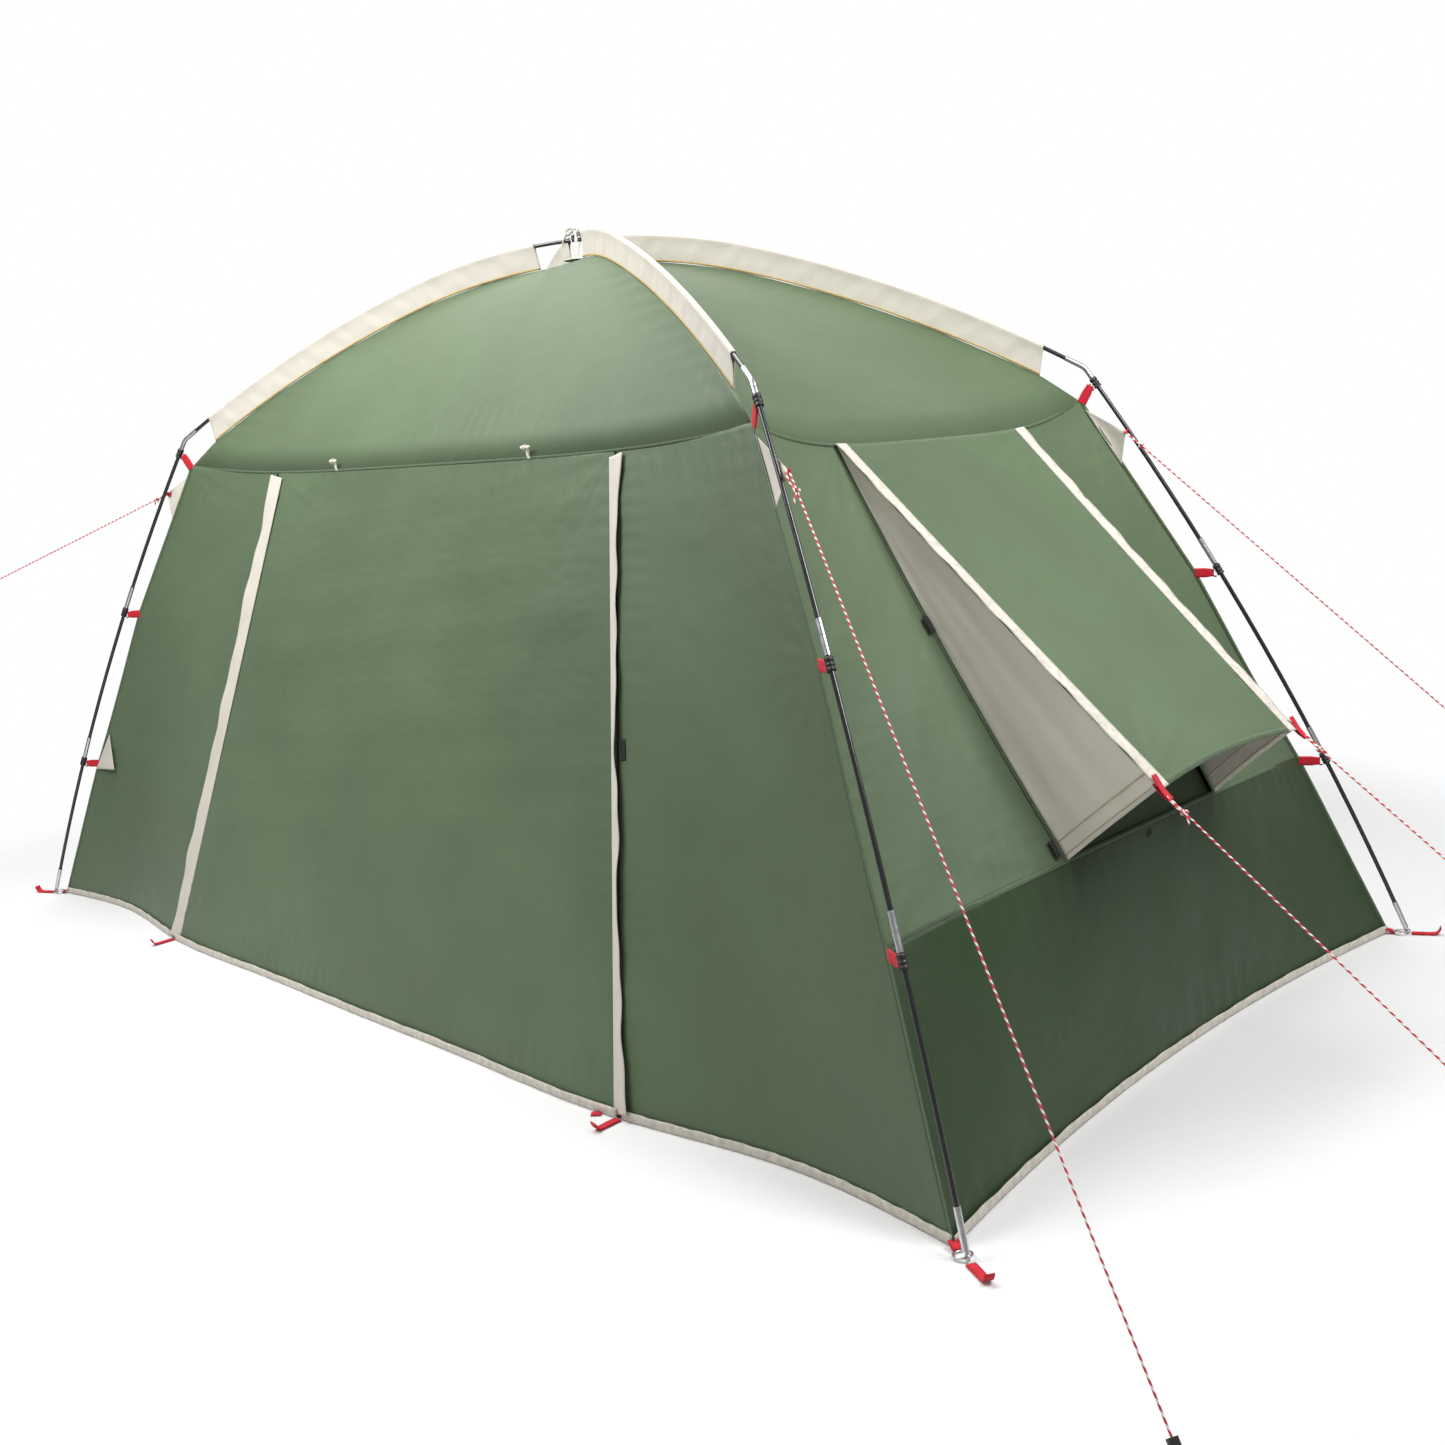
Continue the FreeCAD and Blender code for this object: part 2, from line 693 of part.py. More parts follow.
# --- hems: binding along the foot of each wall. The door carries its own ---
def hem(name, feet, direction):
    """A low strip standing on the ground under a wall's foot line."""
    low = Part.BSplineCurve()
    low.interpolate([Vector(p.x, p.y, 0.3) for p in feet])
    high = Part.BSplineCurve()
    high.interpolate([Vector(p.x, p.y, size("hem_height")) for p in feet])
    face = Part.makeRuledSurface(low.toShape(), high.toShape())
    return extruded(name, face, direction, "Sizes.fabric")


def feet(ribs):
    return [points[0] for points in ribs]


node(
    "wall_hems",
    hem("hem_front_right", feet(front_right_ribs), INTO_FRONT),
    hem("hem_front_left", feet(front_left_ribs), INTO_FRONT),
    hem("hem_back", feet(back_ribs), INTO_BACK),
    hem("hem_right", feet(band_ribs()), INTO_RIGHT),
    hem("hem_left", feet(left_band), INTO_LEFT),
)
node("door_hem", hem("door_hem", feet(door_ribs), INTO_FRONT))

# --- door zips: a chain in each gap, a slider on it, and a flap sewn to the door over both ---
zip_foot, zip_head = Vector(*ZIP_FOOT), Vector(*ZIP_HEAD)
ZIP_RUN = (zip_head - zip_foot).normalize()
wall_slope = Vector(0, ZIP_RUN.y, ZIP_RUN.z).normalize()
WALL_OUT = Vector(0, -wall_slope.z, wall_slope.y)
CHAIN_LOW = 26.0
CHAIN_LENGTH = 1478.0
SLIDER_START = 40.0
FLAP_WIDTH = 48.0
FLAP_LENGTH = 1480.0
FLAP_RISE = 9.0
FLAP_SEWN = 34.0
FLAP_OUT = 3.5
CHAIN_SIZE = (6.0, 2.6)
SLIDER_BODY = (22.0, 11.0, 4.0)
SLIDER_PULL = (26.0, 6.0, 1.2)


def zip_frame(side, along, out, across=0.0):
    """Placement on a zip: local X along it, local Z out of the wall. Side is 1 right, -1 left."""
    foot = Vector(side * zip_foot.x, zip_foot.y, zip_foot.z)
    run = Vector(side * ZIP_RUN.x, ZIP_RUN.y, ZIP_RUN.z)
    sideways = WALL_OUT.cross(run).normalize()
    return framed(foot + run * along + WALL_OUT * out + sideways * across, run, WALL_OUT)


chains = []
for side, name in ((1, "right"), (-1, "left")):
    place = zip_frame(side, CHAIN_LOW + CHAIN_LENGTH / 2, -2.5)
    width, height = (str(value) for value in CHAIN_SIZE)
    chains.append(box(f"zip_chain_{name}", str(CHAIN_LENGTH), width, height, place))
    length, width, height = (str(value) for value in SLIDER_BODY)
    body = box(f"slider_body_{name}", length, width, height, zip_frame(side, SLIDER_START, 0.6))
    length, width, height = (str(value) for value in SLIDER_PULL)
    pull = box(f"slider_pull_{name}", length, width, height, zip_frame(side, SLIDER_START + 19, 3.0))
    node(f"zip_slider_{name}", fuse(f"zip_slider_{name}", body, pull))
node("zip_chains", *chains)
for side, name in ((1, "right"), (-1, "left")):
    base = zip_frame(side, CHAIN_LOW + FLAP_LENGTH / 2 + 2, 0).Base
    run = Vector(side * ZIP_RUN.x, ZIP_RUN.y, ZIP_RUN.z)
    inward = WALL_OUT.cross(run).normalize() * side
    sewn = inward * FLAP_SEWN + WALL_OUT * FLAP_OUT
    free = inward * (FLAP_SEWN - FLAP_WIDTH) + WALL_OUT * (FLAP_OUT + FLAP_RISE)
    middle = base + (sewn + free) * 0.5
    across = (free - sewn).normalize()
    face_out = across.cross(run).normalize()
    if face_out.dot(WALL_OUT) < 0:
        face_out = face_out * -1
    place = framed(middle, run, face_out)
    node(
        f"zip_flap_{name}",
        box(f"zip_flap_{name}", str(FLAP_LENGTH), str(FLAP_WIDTH), "Sizes.tape", place),
    )

# --- toggles that hold the rolled door, on small loops sewn above its top edge ---
TOGGLE_X = 450.0
toggle_seat = Vector(0, -604, 1452)
ROOF_OUT = Vector(0, -0.66, 0.75).normalize()
loops = []
for side, name in ((1, "right"), (-1, "left")):
    seat = toggle_seat + Vector(side * TOGGLE_X, 0, 0)
    start = seat + ROOF_OUT * 11 - Vector(size("toggle_length") / 2, 0, 0)
    place = turned(start, Vector(1, 0, 0))
    peg = cylinder(f"toggle_{name}", "Sizes.toggle_radius", "Sizes.toggle_length", place)
    node(f"toggle_{name}", peg)
    loops.append(box(f"toggle_loop_{name}", "9", "9", "4.5", turned(seat + ROOF_OUT * 1.2, ROOF_OUT)))
node("toggle_loops", *loops)

# --- awning over the window, hinged along its top edge, with cloth gussets down both sides ---
AWNING_OPEN = math.radians(15.0)
AWNING_LENGTH = 1028.0
AWNING_OFFSET = 6.5
AWNING_TOP_HALF = 372.0
AWNING_LOW_HALF = 316.0
window_fall = Vector(WINDOW_LOW.x - WINDOW_HIGH.x, 0, WINDOW_LOW.z - WINDOW_HIGH.z).normalize()
window_out = Vector(-window_fall.z, 0, window_fall.x)
hinge = Vector(WINDOW_HIGH.x, 0, WINDOW_HIGH.z) + window_out * AWNING_OFFSET
open_turn = Rotation(Vector(0, 1, 0), -math.degrees(AWNING_OPEN))
awning_fall = open_turn.multVec(window_fall)
awning_out = open_turn.multVec(window_out)
awning_high = hinge + awning_fall * 7 - awning_out * 1.5
awning_low = hinge + awning_fall * AWNING_LENGTH - awning_out * 1.5
AWNING_DIP = 20.0
low_edge = Part.Arc(
    awning_low + Vector(0, AWNING_LOW_HALF, 0),
    awning_low - awning_fall * AWNING_DIP,
    awning_low - Vector(0, AWNING_LOW_HALF, 0),
).toShape()
awning_edges = [
    Part.LineSegment(
        awning_high - Vector(0, AWNING_TOP_HALF, 0), awning_high + Vector(0, AWNING_TOP_HALF, 0)
    ).toShape(),
    Part.LineSegment(
        awning_high + Vector(0, AWNING_TOP_HALF, 0), awning_low + Vector(0, AWNING_LOW_HALF, 0)
    ).toShape(),
    low_edge,
    Part.LineSegment(
        awning_low - Vector(0, AWNING_LOW_HALF, 0), awning_high - Vector(0, AWNING_TOP_HALF, 0)
    ).toShape(),
]
awning_face = Part.Face(Part.Wire(awning_edges))
node("awning", extruded("awning", awning_face, awning_out))
GUSSET_IN = 7.0
for side, name in ((-1, "front"), (1, "rear")):
    top = hinge + window_fall * 60 + Vector(0, side * (AWNING_TOP_HALF - 6), 0) - awning_out * 2
    wall_end = Vector(WINDOW_LOW.x, side * WINDOW_LOW.y, WINDOW_LOW.z) + window_out * GUSSET_IN
    awning_end = awning_low + Vector(0, side * (AWNING_LOW_HALF - 3), 0) - awning_out * GUSSET_IN
    points = [top, wall_end - window_fall * 4, awning_end - awning_fall * 12, top]
    face = Part.Face(Part.makePolygon(points))
    node(f"gusset_{name}", extruded(f"gusset_{name}", face, Vector(0, 1, 0), "Sizes.tape", True))


# --- webbing: clips on the legs, red tabs to the seams, peg loops on the ground ---
def ribbon(name, line, width, thickness, place=Placement()):
    """A webbing strip. Its line runs in the XZ plane and its width along Y."""
    upper, lower = [], []
    for index, point in enumerate(line):
        before = line[max(index - 1, 0)]
        after = line[min(index + 1, len(line) - 1)]
        heading = Vector(after[0] - before[0], 0, after[1] - before[1]).normalize()
        normal = Vector(-heading.z, 0, heading.x) * (thickness / 2)
        upper.append(Vector(point[0], 0, point[1]) + normal)
        lower.append(Vector(point[0], 0, point[1]) - normal)
    outline = upper + lower[::-1] + upper[:1]
    strip = extruded(name, Part.Face(Part.makePolygon(outline)), Vector(0, 1, 0), width, True)
    strip.Placement = place
    return strip


LUG_REACH = 7.0
clips, tabs = [], []
for corner in CORNERS:
    place = corner_place(corner)
    for index, run in enumerate(CLIP_RUNS):
        tag = f"{corner}_{index}"
        point, heading = leg_at(run)
        base = point - heading * (size("clip_length") / 2)
        solid = cylinder(f"clip_body_{tag}", "Sizes.clip_radius", "Sizes.clip_length", turned(base, heading))
        bore_place = turned(base - heading, heading)
        bore = cylinder(f"clip_bore_{tag}", "Sizes.sleeve_metal_bore", "Sizes.clip_length + 2", bore_place)
        inward = Vector(-heading.z, 0, heading.x)
        lug_place = framed(point + inward * (size("clip_radius") + LUG_REACH / 2 - 1.5), inward, heading)
        lug_place.Base = lug_place.Base - heading * 11
        lug = box(f"clip_lug_{tag}", str(LUG_REACH), "9", "22", lug_place)
        clip = cut(f"clip_{tag}", fuse(f"clip_solid_{tag}", solid, lug), bore)
        clip.Placement = place
        clips.append(clip)
        near = point + inward * (size("clip_radius") + LUG_REACH + (3 if index < 2 else 6))
        height = min(near.z - 8, size("seam_top_height") - 6)
        seam = Vector(corner_seam(height) + (3 if index < 2 else 8), 0, height)
        middle = (near + seam) * 0.5
        flat = framed(middle, seam - near, Vector(0, 1, 0))
        tab = box(f"tab_{tag}", str((seam - near).Length), "Sizes.webbing_width", "Sizes.webbing", flat)
        tab.Placement = place.multiply(tab.Placement)
        tabs.append(tab)
node("pole_clips", *clips)

PEG_LOOP = [(2252, 1.2), (2270, 1.2), (2292, 1.2), (2312, 2), (2320, 6), (2323, 13), (2325, 22)]
RING_TAB = [(2191.5, 10), (2196.5, 6), (2202, 3.4)]
DOOR_LOOP_DROP = PEG_LOOP[0][0] - 4
peg_loops = []
for corner in CORNERS:
    place = corner_place(corner)
    peg_loops.append(ribbon(f"peg_loop_{corner}", PEG_LOOP, "20", 2.4, place))
    tabs.append(ribbon(f"ring_tab_{corner}", RING_TAB, "24", 1.6, place))
loop_line = [(x - DOOR_LOOP_DROP, z) for x, z in PEG_LOOP]
for side, turn in ((1, -90), (-1, 90)):
    for x in (-zip_foot.x, zip_foot.x):
        name = f"peg_loop_{side}_{'right' if x > 0 else 'left'}"
        place = Placement(Vector(x, side * zip_foot.y, 0), Rotation(AXIS_Z, turn))
        peg_loops.append(ribbon(name, loop_line, "20", 2.4, place))
square_place = framed(Vector(zip_foot.x - 62, zip_foot.y - 16, 0.4), Vector(1, 0.9, 0), AXIS_Z)
peg_loops.append(box("square_tab", "24", "20", "Sizes.webbing", square_place))
node("peg_loops", *peg_loops)
node("seam_tabs", *tabs)

# --- hook-and-loop tabs beside the door and the window, and the sewn-on corner patch ---
window_side = Vector(window_high.x - window_low.x, 0, window_high.z - window_low.z).normalize()
DOOR_HOOK_RUN = 815.0
hook_tabs = [box("hook_tab_door", "50", "20", "Sizes.tape", zip_frame(1, DOOR_HOOK_RUN, 1.2, -24))]
for index, (height, y) in enumerate(((1020, -372), (552, -352))):
    share = (height - WINDOW_LOW.z) / (WINDOW_HIGH.z - WINDOW_LOW.z)
    spot = Vector(WINDOW_LOW.x + (WINDOW_HIGH.x - WINDOW_LOW.x) * share, y, height)
    place = framed(spot + window_out * 2.8, window_side, window_out)
    hook_tabs.append(box(f"hook_tab_window_{index}", "40", "18", "Sizes.tape", place))
node("hook_tabs", *hook_tabs)

# --- guy attachments: a cloth triangle at each top corner, its tip carrying a webbing loop ---
TRIANGLE_TOP = 1452.0
TRIANGLE_FOOT = 1300.0
TIP_ASIDE = 13.0
GUY_TIPS = {
    "front_right": (1575.0, 1376.0, 1),
    "back_right": (1532.0, 1386.0, -1),
    "back_left": (1532.0, 1386.0, 1),
    "front_left": (1535.0, 1393.0, -1),
}
triangles = []
for corner, (reach, height, aside) in GUY_TIPS.items():
    tip = Vector(reach, aside * TIP_ASIDE, height)
    points = [
        Vector(corner_seam(TRIANGLE_TOP) + 4, 0, TRIANGLE_TOP),
        Vector(corner_seam(TRIANGLE_FOOT) + 4, 0, TRIANGLE_FOOT),
        tip,
        Vector(corner_seam(TRIANGLE_TOP) + 4, 0, TRIANGLE_TOP),
    ]
    face = Part.Face(Part.makePolygon(points))
    triangle = extruded(f"guy_triangle_{corner}", face, Vector(0, 1, 0), "Sizes.tape", True)
    triangle.Placement = corner_place(corner)
    triangles.append(triangle)
node("guy_triangles", *triangles)

# --- guy lines: each runs straight from its loop to a stake beyond the footprint, through a runner ---
GUY_END_HEIGHT = 25.0
GUY_STAKES = {"front_right": (2880.0, 31.0), "back_right": (2940.0, 212.0)}
AWNING_STAKE = (2850.0, 330.0)
HELD_REACH = 2330.0
HELD_SLOPE = 0.341
STAKE_LEAN = math.radians(20.0)
STAKE_LENGTH = 58.0
STAKE_ARM = 17.0
STAKE_RADIUS = 3.0
STAKE_BASE = 1.6
AWNING_RUNNER_BACK = 212.0
RUNNER_SIZE = (44.0, 16.0, 9.0)
TAB_LENGTH = 30.0
EYE_GAP = 5.0


def guy_start(corner):
    reach, height, aside = GUY_TIPS[corner]
    return placed(corner, Vector(reach, aside * TIP_ASIDE, height))


def guy_line(name, start, end, gap):
    """The line itself, from a little past its loop to a little short of its end."""
    heading = (end - start).normalize()
    first = start + heading * gap
    length = (end - first).Length - EYE_GAP
    node(name, cylinder(name, "Sizes.guy_radius", str(length), turned(first, heading)))
    return heading


def guy_runner(name, spot, heading):
    """A small block with a bore, held on the line by friction."""
    length, width, height = RUNNER_SIZE
    across = Vector(-heading.y, heading.x, 0).normalize()
    up = heading.cross(across)
    block_place = framed(spot - up * (height / 2), heading, up)
    block = box(f"block_{name}", str(length), str(width), str(height), block_place)
    bore_place = turned(spot - heading * (length / 2 + 1), heading)
    bore = cylinder(f"bore_{name}", "Sizes.guy_radius + 0.4", str(length + 2), bore_place)
    node(name, cut(name, block, bore))


def guy_stake(name, end, heading):
    """What shows of a ground stake: a leaning rod with a short arm that the line goes round."""
    away = Vector(heading.x, heading.y, 0).normalize()
    axis = away * math.sin(STAKE_LEAN) + AXIS_Z * math.cos(STAKE_LEAN)
    foot = Vector(end.x, end.y, STAKE_BASE) + away * STAKE_RADIUS
    rod = cylinder(f"rod_{name}", str(STAKE_RADIUS), str(STAKE_LENGTH), turned(foot, axis))
    top = foot + axis * (STAKE_LENGTH - STAKE_RADIUS)
    arm = cylinder(f"arm_{name}", str(STAKE_RADIUS), str(STAKE_ARM), turned(top, away * -1))
    return fuse(name, rod, arm)


stakes, awning_tabs = [], []
for corner, (reach, runner_back) in GUY_STAKES.items():
    end = placed(corner, Vector(reach, 0, GUY_END_HEIGHT))
    heading = guy_line(f"guy_{corner}", guy_start(corner), end, EYE_GAP)
    guy_runner(f"runner_{corner}", end - heading * runner_back, heading)
    stakes.append(guy_stake(f"stake_{corner}", end, heading))
for side, name in ((-1, "front"), (1, "rear")):
    start = awning_low + Vector(0, side * AWNING_LOW_HALF, 0)
    end = Vector(AWNING_STAKE[0], side * AWNING_STAKE[1], GUY_END_HEIGHT)
    heading = guy_line(f"awning_guy_{name}", start, end, TAB_LENGTH + 3)
    place = framed(start + heading * (TAB_LENGTH / 2 + 2), heading, awning_out)
    tab = box(f"awning_tab_{name}", str(TAB_LENGTH), "18", "Sizes.webbing", place)
    awning_tabs.append(tab)
    guy_runner(f"runner_awning_{name}", end - heading * AWNING_RUNNER_BACK, heading)
    stakes.append(guy_stake(f"stake_awning_{name}", end, heading))
held_from = GUY_TIPS["front_left"]
held_height = held_from[1] - (HELD_REACH - held_from[0]) * HELD_SLOPE
held_end = placed("front_left", Vector(HELD_REACH, held_from[2] * TIP_ASIDE, held_height))
guy_line("guy_front_left", guy_start("front_left"), held_end, EYE_GAP)
node("guy_stakes", *stakes)
node("awning_tabs", *awning_tabs)

# --- check every object, then write each sub-part ---
doc.recompute()
failed = []
for item in doc.Objects:
    if "Invalid" in item.State or "Error" in item.State:
        failed.append(item.Name)
for label, part in NODES.items():
    if part.Shape.isNull() or not part.Shape.isValid() or not part.Shape.Solids:
        failed.append(label)
if failed:
    raise RuntimeError("failed: " + ", ".join(failed))
os.makedirs("parts", exist_ok=True)
for label, part in NODES.items():
    part.Shape.exportStep(f"parts/{label}.step")
print(len(NODES), "nodes written")
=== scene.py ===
import math

import bmesh
import bpy
import numpy as np
from mathutils import Matrix, Vector


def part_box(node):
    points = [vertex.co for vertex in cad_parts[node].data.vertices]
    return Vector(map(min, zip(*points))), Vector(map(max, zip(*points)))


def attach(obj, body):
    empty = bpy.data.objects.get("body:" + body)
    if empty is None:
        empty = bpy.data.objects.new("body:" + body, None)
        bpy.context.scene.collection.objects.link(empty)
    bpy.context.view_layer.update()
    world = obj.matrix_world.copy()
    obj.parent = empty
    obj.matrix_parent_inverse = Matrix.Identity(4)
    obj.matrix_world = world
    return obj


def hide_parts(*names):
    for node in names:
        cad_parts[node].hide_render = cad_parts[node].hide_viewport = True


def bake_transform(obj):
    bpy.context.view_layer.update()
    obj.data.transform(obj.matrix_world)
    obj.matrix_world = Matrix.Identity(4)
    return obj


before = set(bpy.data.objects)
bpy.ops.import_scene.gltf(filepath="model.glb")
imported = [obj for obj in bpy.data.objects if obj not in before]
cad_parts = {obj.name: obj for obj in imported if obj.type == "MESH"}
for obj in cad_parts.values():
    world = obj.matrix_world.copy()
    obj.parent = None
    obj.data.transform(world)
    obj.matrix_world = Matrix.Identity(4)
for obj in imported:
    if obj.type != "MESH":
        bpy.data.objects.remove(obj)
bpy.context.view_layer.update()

RANDOM = np.random.default_rng(7)
TAU = 2 * math.pi


# ---------------------------------------------------------------- camera, light and floor
CAMERA_PLACE = (3.441, -2.961, 1.463)
CAMERA_TURN = (-0.789, -0.192, -0.073)
LENS_MM, SENSOR_MM = 37.17, 36.0


def place_camera():
    yaw, pitch, roll = CAMERA_TURN
    ahead = Vector((math.sin(yaw) * math.cos(pitch), math.cos(yaw) * math.cos(pitch), math.sin(pitch)))
    level = Vector((math.cos(yaw), -math.sin(yaw), 0))
    upright = level.cross(ahead)
    right = level * math.cos(roll) + upright * math.sin(roll)
    above = upright * math.cos(roll) - level * math.sin(roll)
    data = bpy.data.cameras.new("camera")
    data.lens = LENS_MM
    data.sensor_width = SENSOR_MM
    camera = bpy.data.objects.new("camera", data)
    turn = Matrix((right, above, -ahead)).transposed().to_4x4()
    camera.matrix_world = Matrix.Translation(CAMERA_PLACE) @ turn
    bpy.context.collection.objects.link(camera)
    bpy.context.scene.camera = camera


def soft_light(name, spot, aim, width, power):
    data = bpy.data.lights.new(name, "AREA")
    data.shape = "SQUARE"
    data.size = width
    data.energy = power
    lamp = bpy.data.objects.new(name, data)
    lamp.location = spot
    lamp.rotation_euler = (Vector(aim) - Vector(spot)).to_track_quat("-Z", "Y").to_euler()
    bpy.context.collection.objects.link(lamp)


ROOM_GLOW = 0.30


def light_the_studio():
    """A white surround that lights the tent only softly, and three soft lamps."""
    world = bpy.data.worlds.new("studio")
    world.use_nodes = True
    tree = world.node_tree
    tree.nodes["Background"].inputs["Color"].default_value = (1, 1, 1, 1)
    rays = tree.nodes.new("ShaderNodeLightPath")
    level = tree.nodes.new("ShaderNodeMapRange")
    level.inputs["To Min"].default_value = ROOM_GLOW
    level.inputs["To Max"].default_value = 1.0
    tree.links.new(rays.outputs["Is Camera Ray"], level.inputs["Value"])
    tree.links.new(level.outputs["Result"], tree.nodes["Background"].inputs["Strength"])
    bpy.context.scene.world = world
    bpy.context.scene.view_settings.view_transform = "Standard"
    soft_light("key", (-0.5, -2.2, 3.2), (-0.3, -0.6, 1.4), 1.6, 100)
    soft_light("top", (-0.9, 0.2, 4.8), (-0.3, 0, 0), 3.2, 190)
    soft_light("side", (3.1, 0.1, 2.8), (1.5, 0.2, 1.0), 1.4, 84)


# ---------------------------------------------------------------- materials
def fresh(name, colour, roughness, metallic=0.0):
    """A material with one Principled shader. Returns it with its node tree and shader."""
    material = bpy.data.materials.new(name)
    material.use_nodes = True
    tree = material.node_tree
    shader = tree.nodes["Principled BSDF"]
    shader.inputs["Base Color"].default_value = (*colour, 1)
    shader.inputs["Roughness"].default_value = roughness
    shader.inputs["Metallic"].default_value = metallic
    return material, tree, shader


def feed(tree, socket, source):
    """Joins an output to a socket, or sets the socket to a number or a colour."""
    if isinstance(source, bpy.types.NodeSocket):
        tree.links.new(source, socket)
    else:
        socket.default_value = source


def add(tree, kind, *sources, **settings):
    """A node. Each source is None, a number, a colour or an output, for its sockets in order."""
    item = tree.nodes.new("ShaderNode" + kind)
    for key, value in settings.items():
        setattr(item, key, value)
    for socket, source in zip(item.inputs, sources):
        if source is not None:
            feed(tree, socket, source)
    return item


def mix(tree, factor, first, second, mode="MIX"):
    """A colour mixed from two. Each source is a number, a colour or an output."""
    item = add(tree, "Mix", data_type="RGBA", blend_type=mode)
    for socket, source in (("Factor", factor), ("A", first), ("B", second)):
        feed(tree, item.inputs[socket], source)
    return item.outputs["Result"]


def greys(low_place, low, high_place, high):
    """Two stops of grey for a ramp."""
    return [(low_place, (low,) * 3), (high_place, (high,) * 3)]


def uneven(tree, factor, colour, darker, lighter):
    """The colour, darker and lighter by factor."""
    return ramp(tree, factor, [(0.3, shade(colour, darker)), (0.7, shade(colour, lighter))])


def noise(tree, vector, scale, detail=3.0, kind="FBM"):
    item = add(tree, "TexNoise", noise_type=kind)
    tree.links.new(vector, item.inputs["Vector"])
    item.inputs["Scale"].default_value = scale
    item.inputs["Detail"].default_value = detail
    return item.outputs["Fac"]


def maths(tree, operation, *sources):
    return add(tree, "Math", *sources, operation=operation).outputs[0]


def ramp(tree, factor, stops):
    """Colours or greys by factor. Each stop is (place, colour)."""
    item = add(tree, "ValToRGB", factor)
    points = item.color_ramp.elements
    while len(points) < len(stops):
        points.new(0.5)
    for point, (place, colour) in zip(points, stops):
        point.position = place
        point.color = (*colour, 1)
    return item.outputs["Color"]


def shade(colour, factor):
    return tuple(channel * factor for channel in colour)


def bump(tree, shader, height, strength, depth):
    """Adds a bump layer before the ones the shader has already."""
    item = add(tree, "Bump")
    item.inputs["Strength"].default_value = strength
    item.inputs["Distance"].default_value = depth
    tree.links.new(height, item.inputs["Height"])
    socket = shader.inputs["Normal"]
    if socket.links:
        tree.links.new(socket.links[0].from_socket, item.inputs["Normal"])
    tree.links.new(item.outputs["Normal"], socket)


def woven(tree, vector, pitch_u, pitch_v):
    """Height of a plain weave: threads of two directions, in a pattern of metres."""
    parts = add(tree, "SeparateXYZ", vector)
    waves = []
    for output, pitch in ((parts.outputs[0], pitch_u), (parts.outputs[1], pitch_v)):
        turn = maths(tree, "MULTIPLY", output, TAU / pitch)
        waves.append(maths(tree, "SINE", turn))
    return maths(tree, "MULTIPLY", waves[0], waves[1])


def cloth(name, colour, roughness=0.46, sheen=0.08, thread=0.0011, crease=1.0, fade=0.12, see_through=0.0):
    """Coated tent cloth: fine weave, small creases and slightly uneven colour."""
    material, tree, shader = fresh(name, colour, roughness)
    place = add(tree, "TexCoord").outputs["UV"]
    cloudy = noise(tree, place, 1.6, 4)
    tint = uneven(tree, cloudy, colour, 1 - fade, 1 + fade)
    speck = ramp(tree, noise(tree, place, 420.0, 2), greys(0.35, 0.86, 0.65, 1.0))
    tree.links.new(mix(tree, 0.5, tint, speck, "MULTIPLY"), shader.inputs["Base Color"])
    worn = ramp(tree, noise(tree, place, 5.0, 5), greys(0.3, roughness - 0.07, 0.75, roughness + 0.08))
    tree.links.new(worn, shader.inputs["Roughness"])
    shader.inputs["Sheen Weight"].default_value = sheen
    shader.inputs["Sheen Roughness"].default_value = 0.4
    shader.inputs["Specular IOR Level"].default_value = 0.34
    bump(tree, shader, woven(tree, place, thread, thread), 0.35, 0.0002)
    stretched = add(tree, "Mapping")
    stretched.inputs["Scale"].default_value = (1.0, 0.45, 1.0)
    tree.links.new(place, stretched.inputs["Vector"])
    fine = noise(tree, stretched.outputs["Vector"], 26.0, 3, "RIDGED_MULTIFRACTAL")
    bump(tree, shader, fine, 0.34 * crease, 0.0018)
    soft = noise(tree, place, 7.0, 3)
    bump(tree, shader, soft, 0.42 * crease, 0.006)
    if see_through:
        shader.inputs["Alpha"].default_value = 1 - see_through
    return material


def webbing(name, colour, width=0.02, stitched=None):
    """Ribbed strap. Across is U and along is V, in metres, with stitching near both edges if asked."""
    material, tree, shader = fresh(name, colour, 0.62)
    place = add(tree, "TexCoord").outputs["UV"]
    parts = add(tree, "SeparateXYZ", place)
    rib = maths(tree, "SINE", maths(tree, "MULTIPLY", parts.outputs[1], TAU / 0.0021))
    cross = maths(tree, "SINE", maths(tree, "MULTIPLY", parts.outputs[0], TAU / 0.0012))
    tint = uneven(tree, noise(tree, place, 60.0, 4), colour, 0.8, 1.12)
    if stitched:
        edge = maths(tree, "ABSOLUTE", parts.outputs[0])
        near = maths(tree, "COMPARE", edge, width / 2 - 0.004, 0.0008)
        stitch = maths(tree, "FRACT", maths(tree, "DIVIDE", parts.outputs[1], 0.0045))
        seam = maths(tree, "MULTIPLY", near, maths(tree, "GREATER_THAN", stitch, 0.32))
        tint = mix(tree, seam, tint, (*stitched, 1))
    tree.links.new(tint, shader.inputs["Base Color"])
    shader.inputs["Sheen Weight"].default_value = 0.1
    shader.inputs["Sheen Roughness"].default_value = 0.5
    shader.inputs["Specular IOR Level"].default_value = 0.25
    bump(tree, shader, maths(tree, "ADD", rib, maths(tree, "MULTIPLY", cross, 0.4)), 0.5, 0.00025)
    bump(tree, shader, noise(tree, place, 35.0, 3), 0.4, 0.0012)
    return material


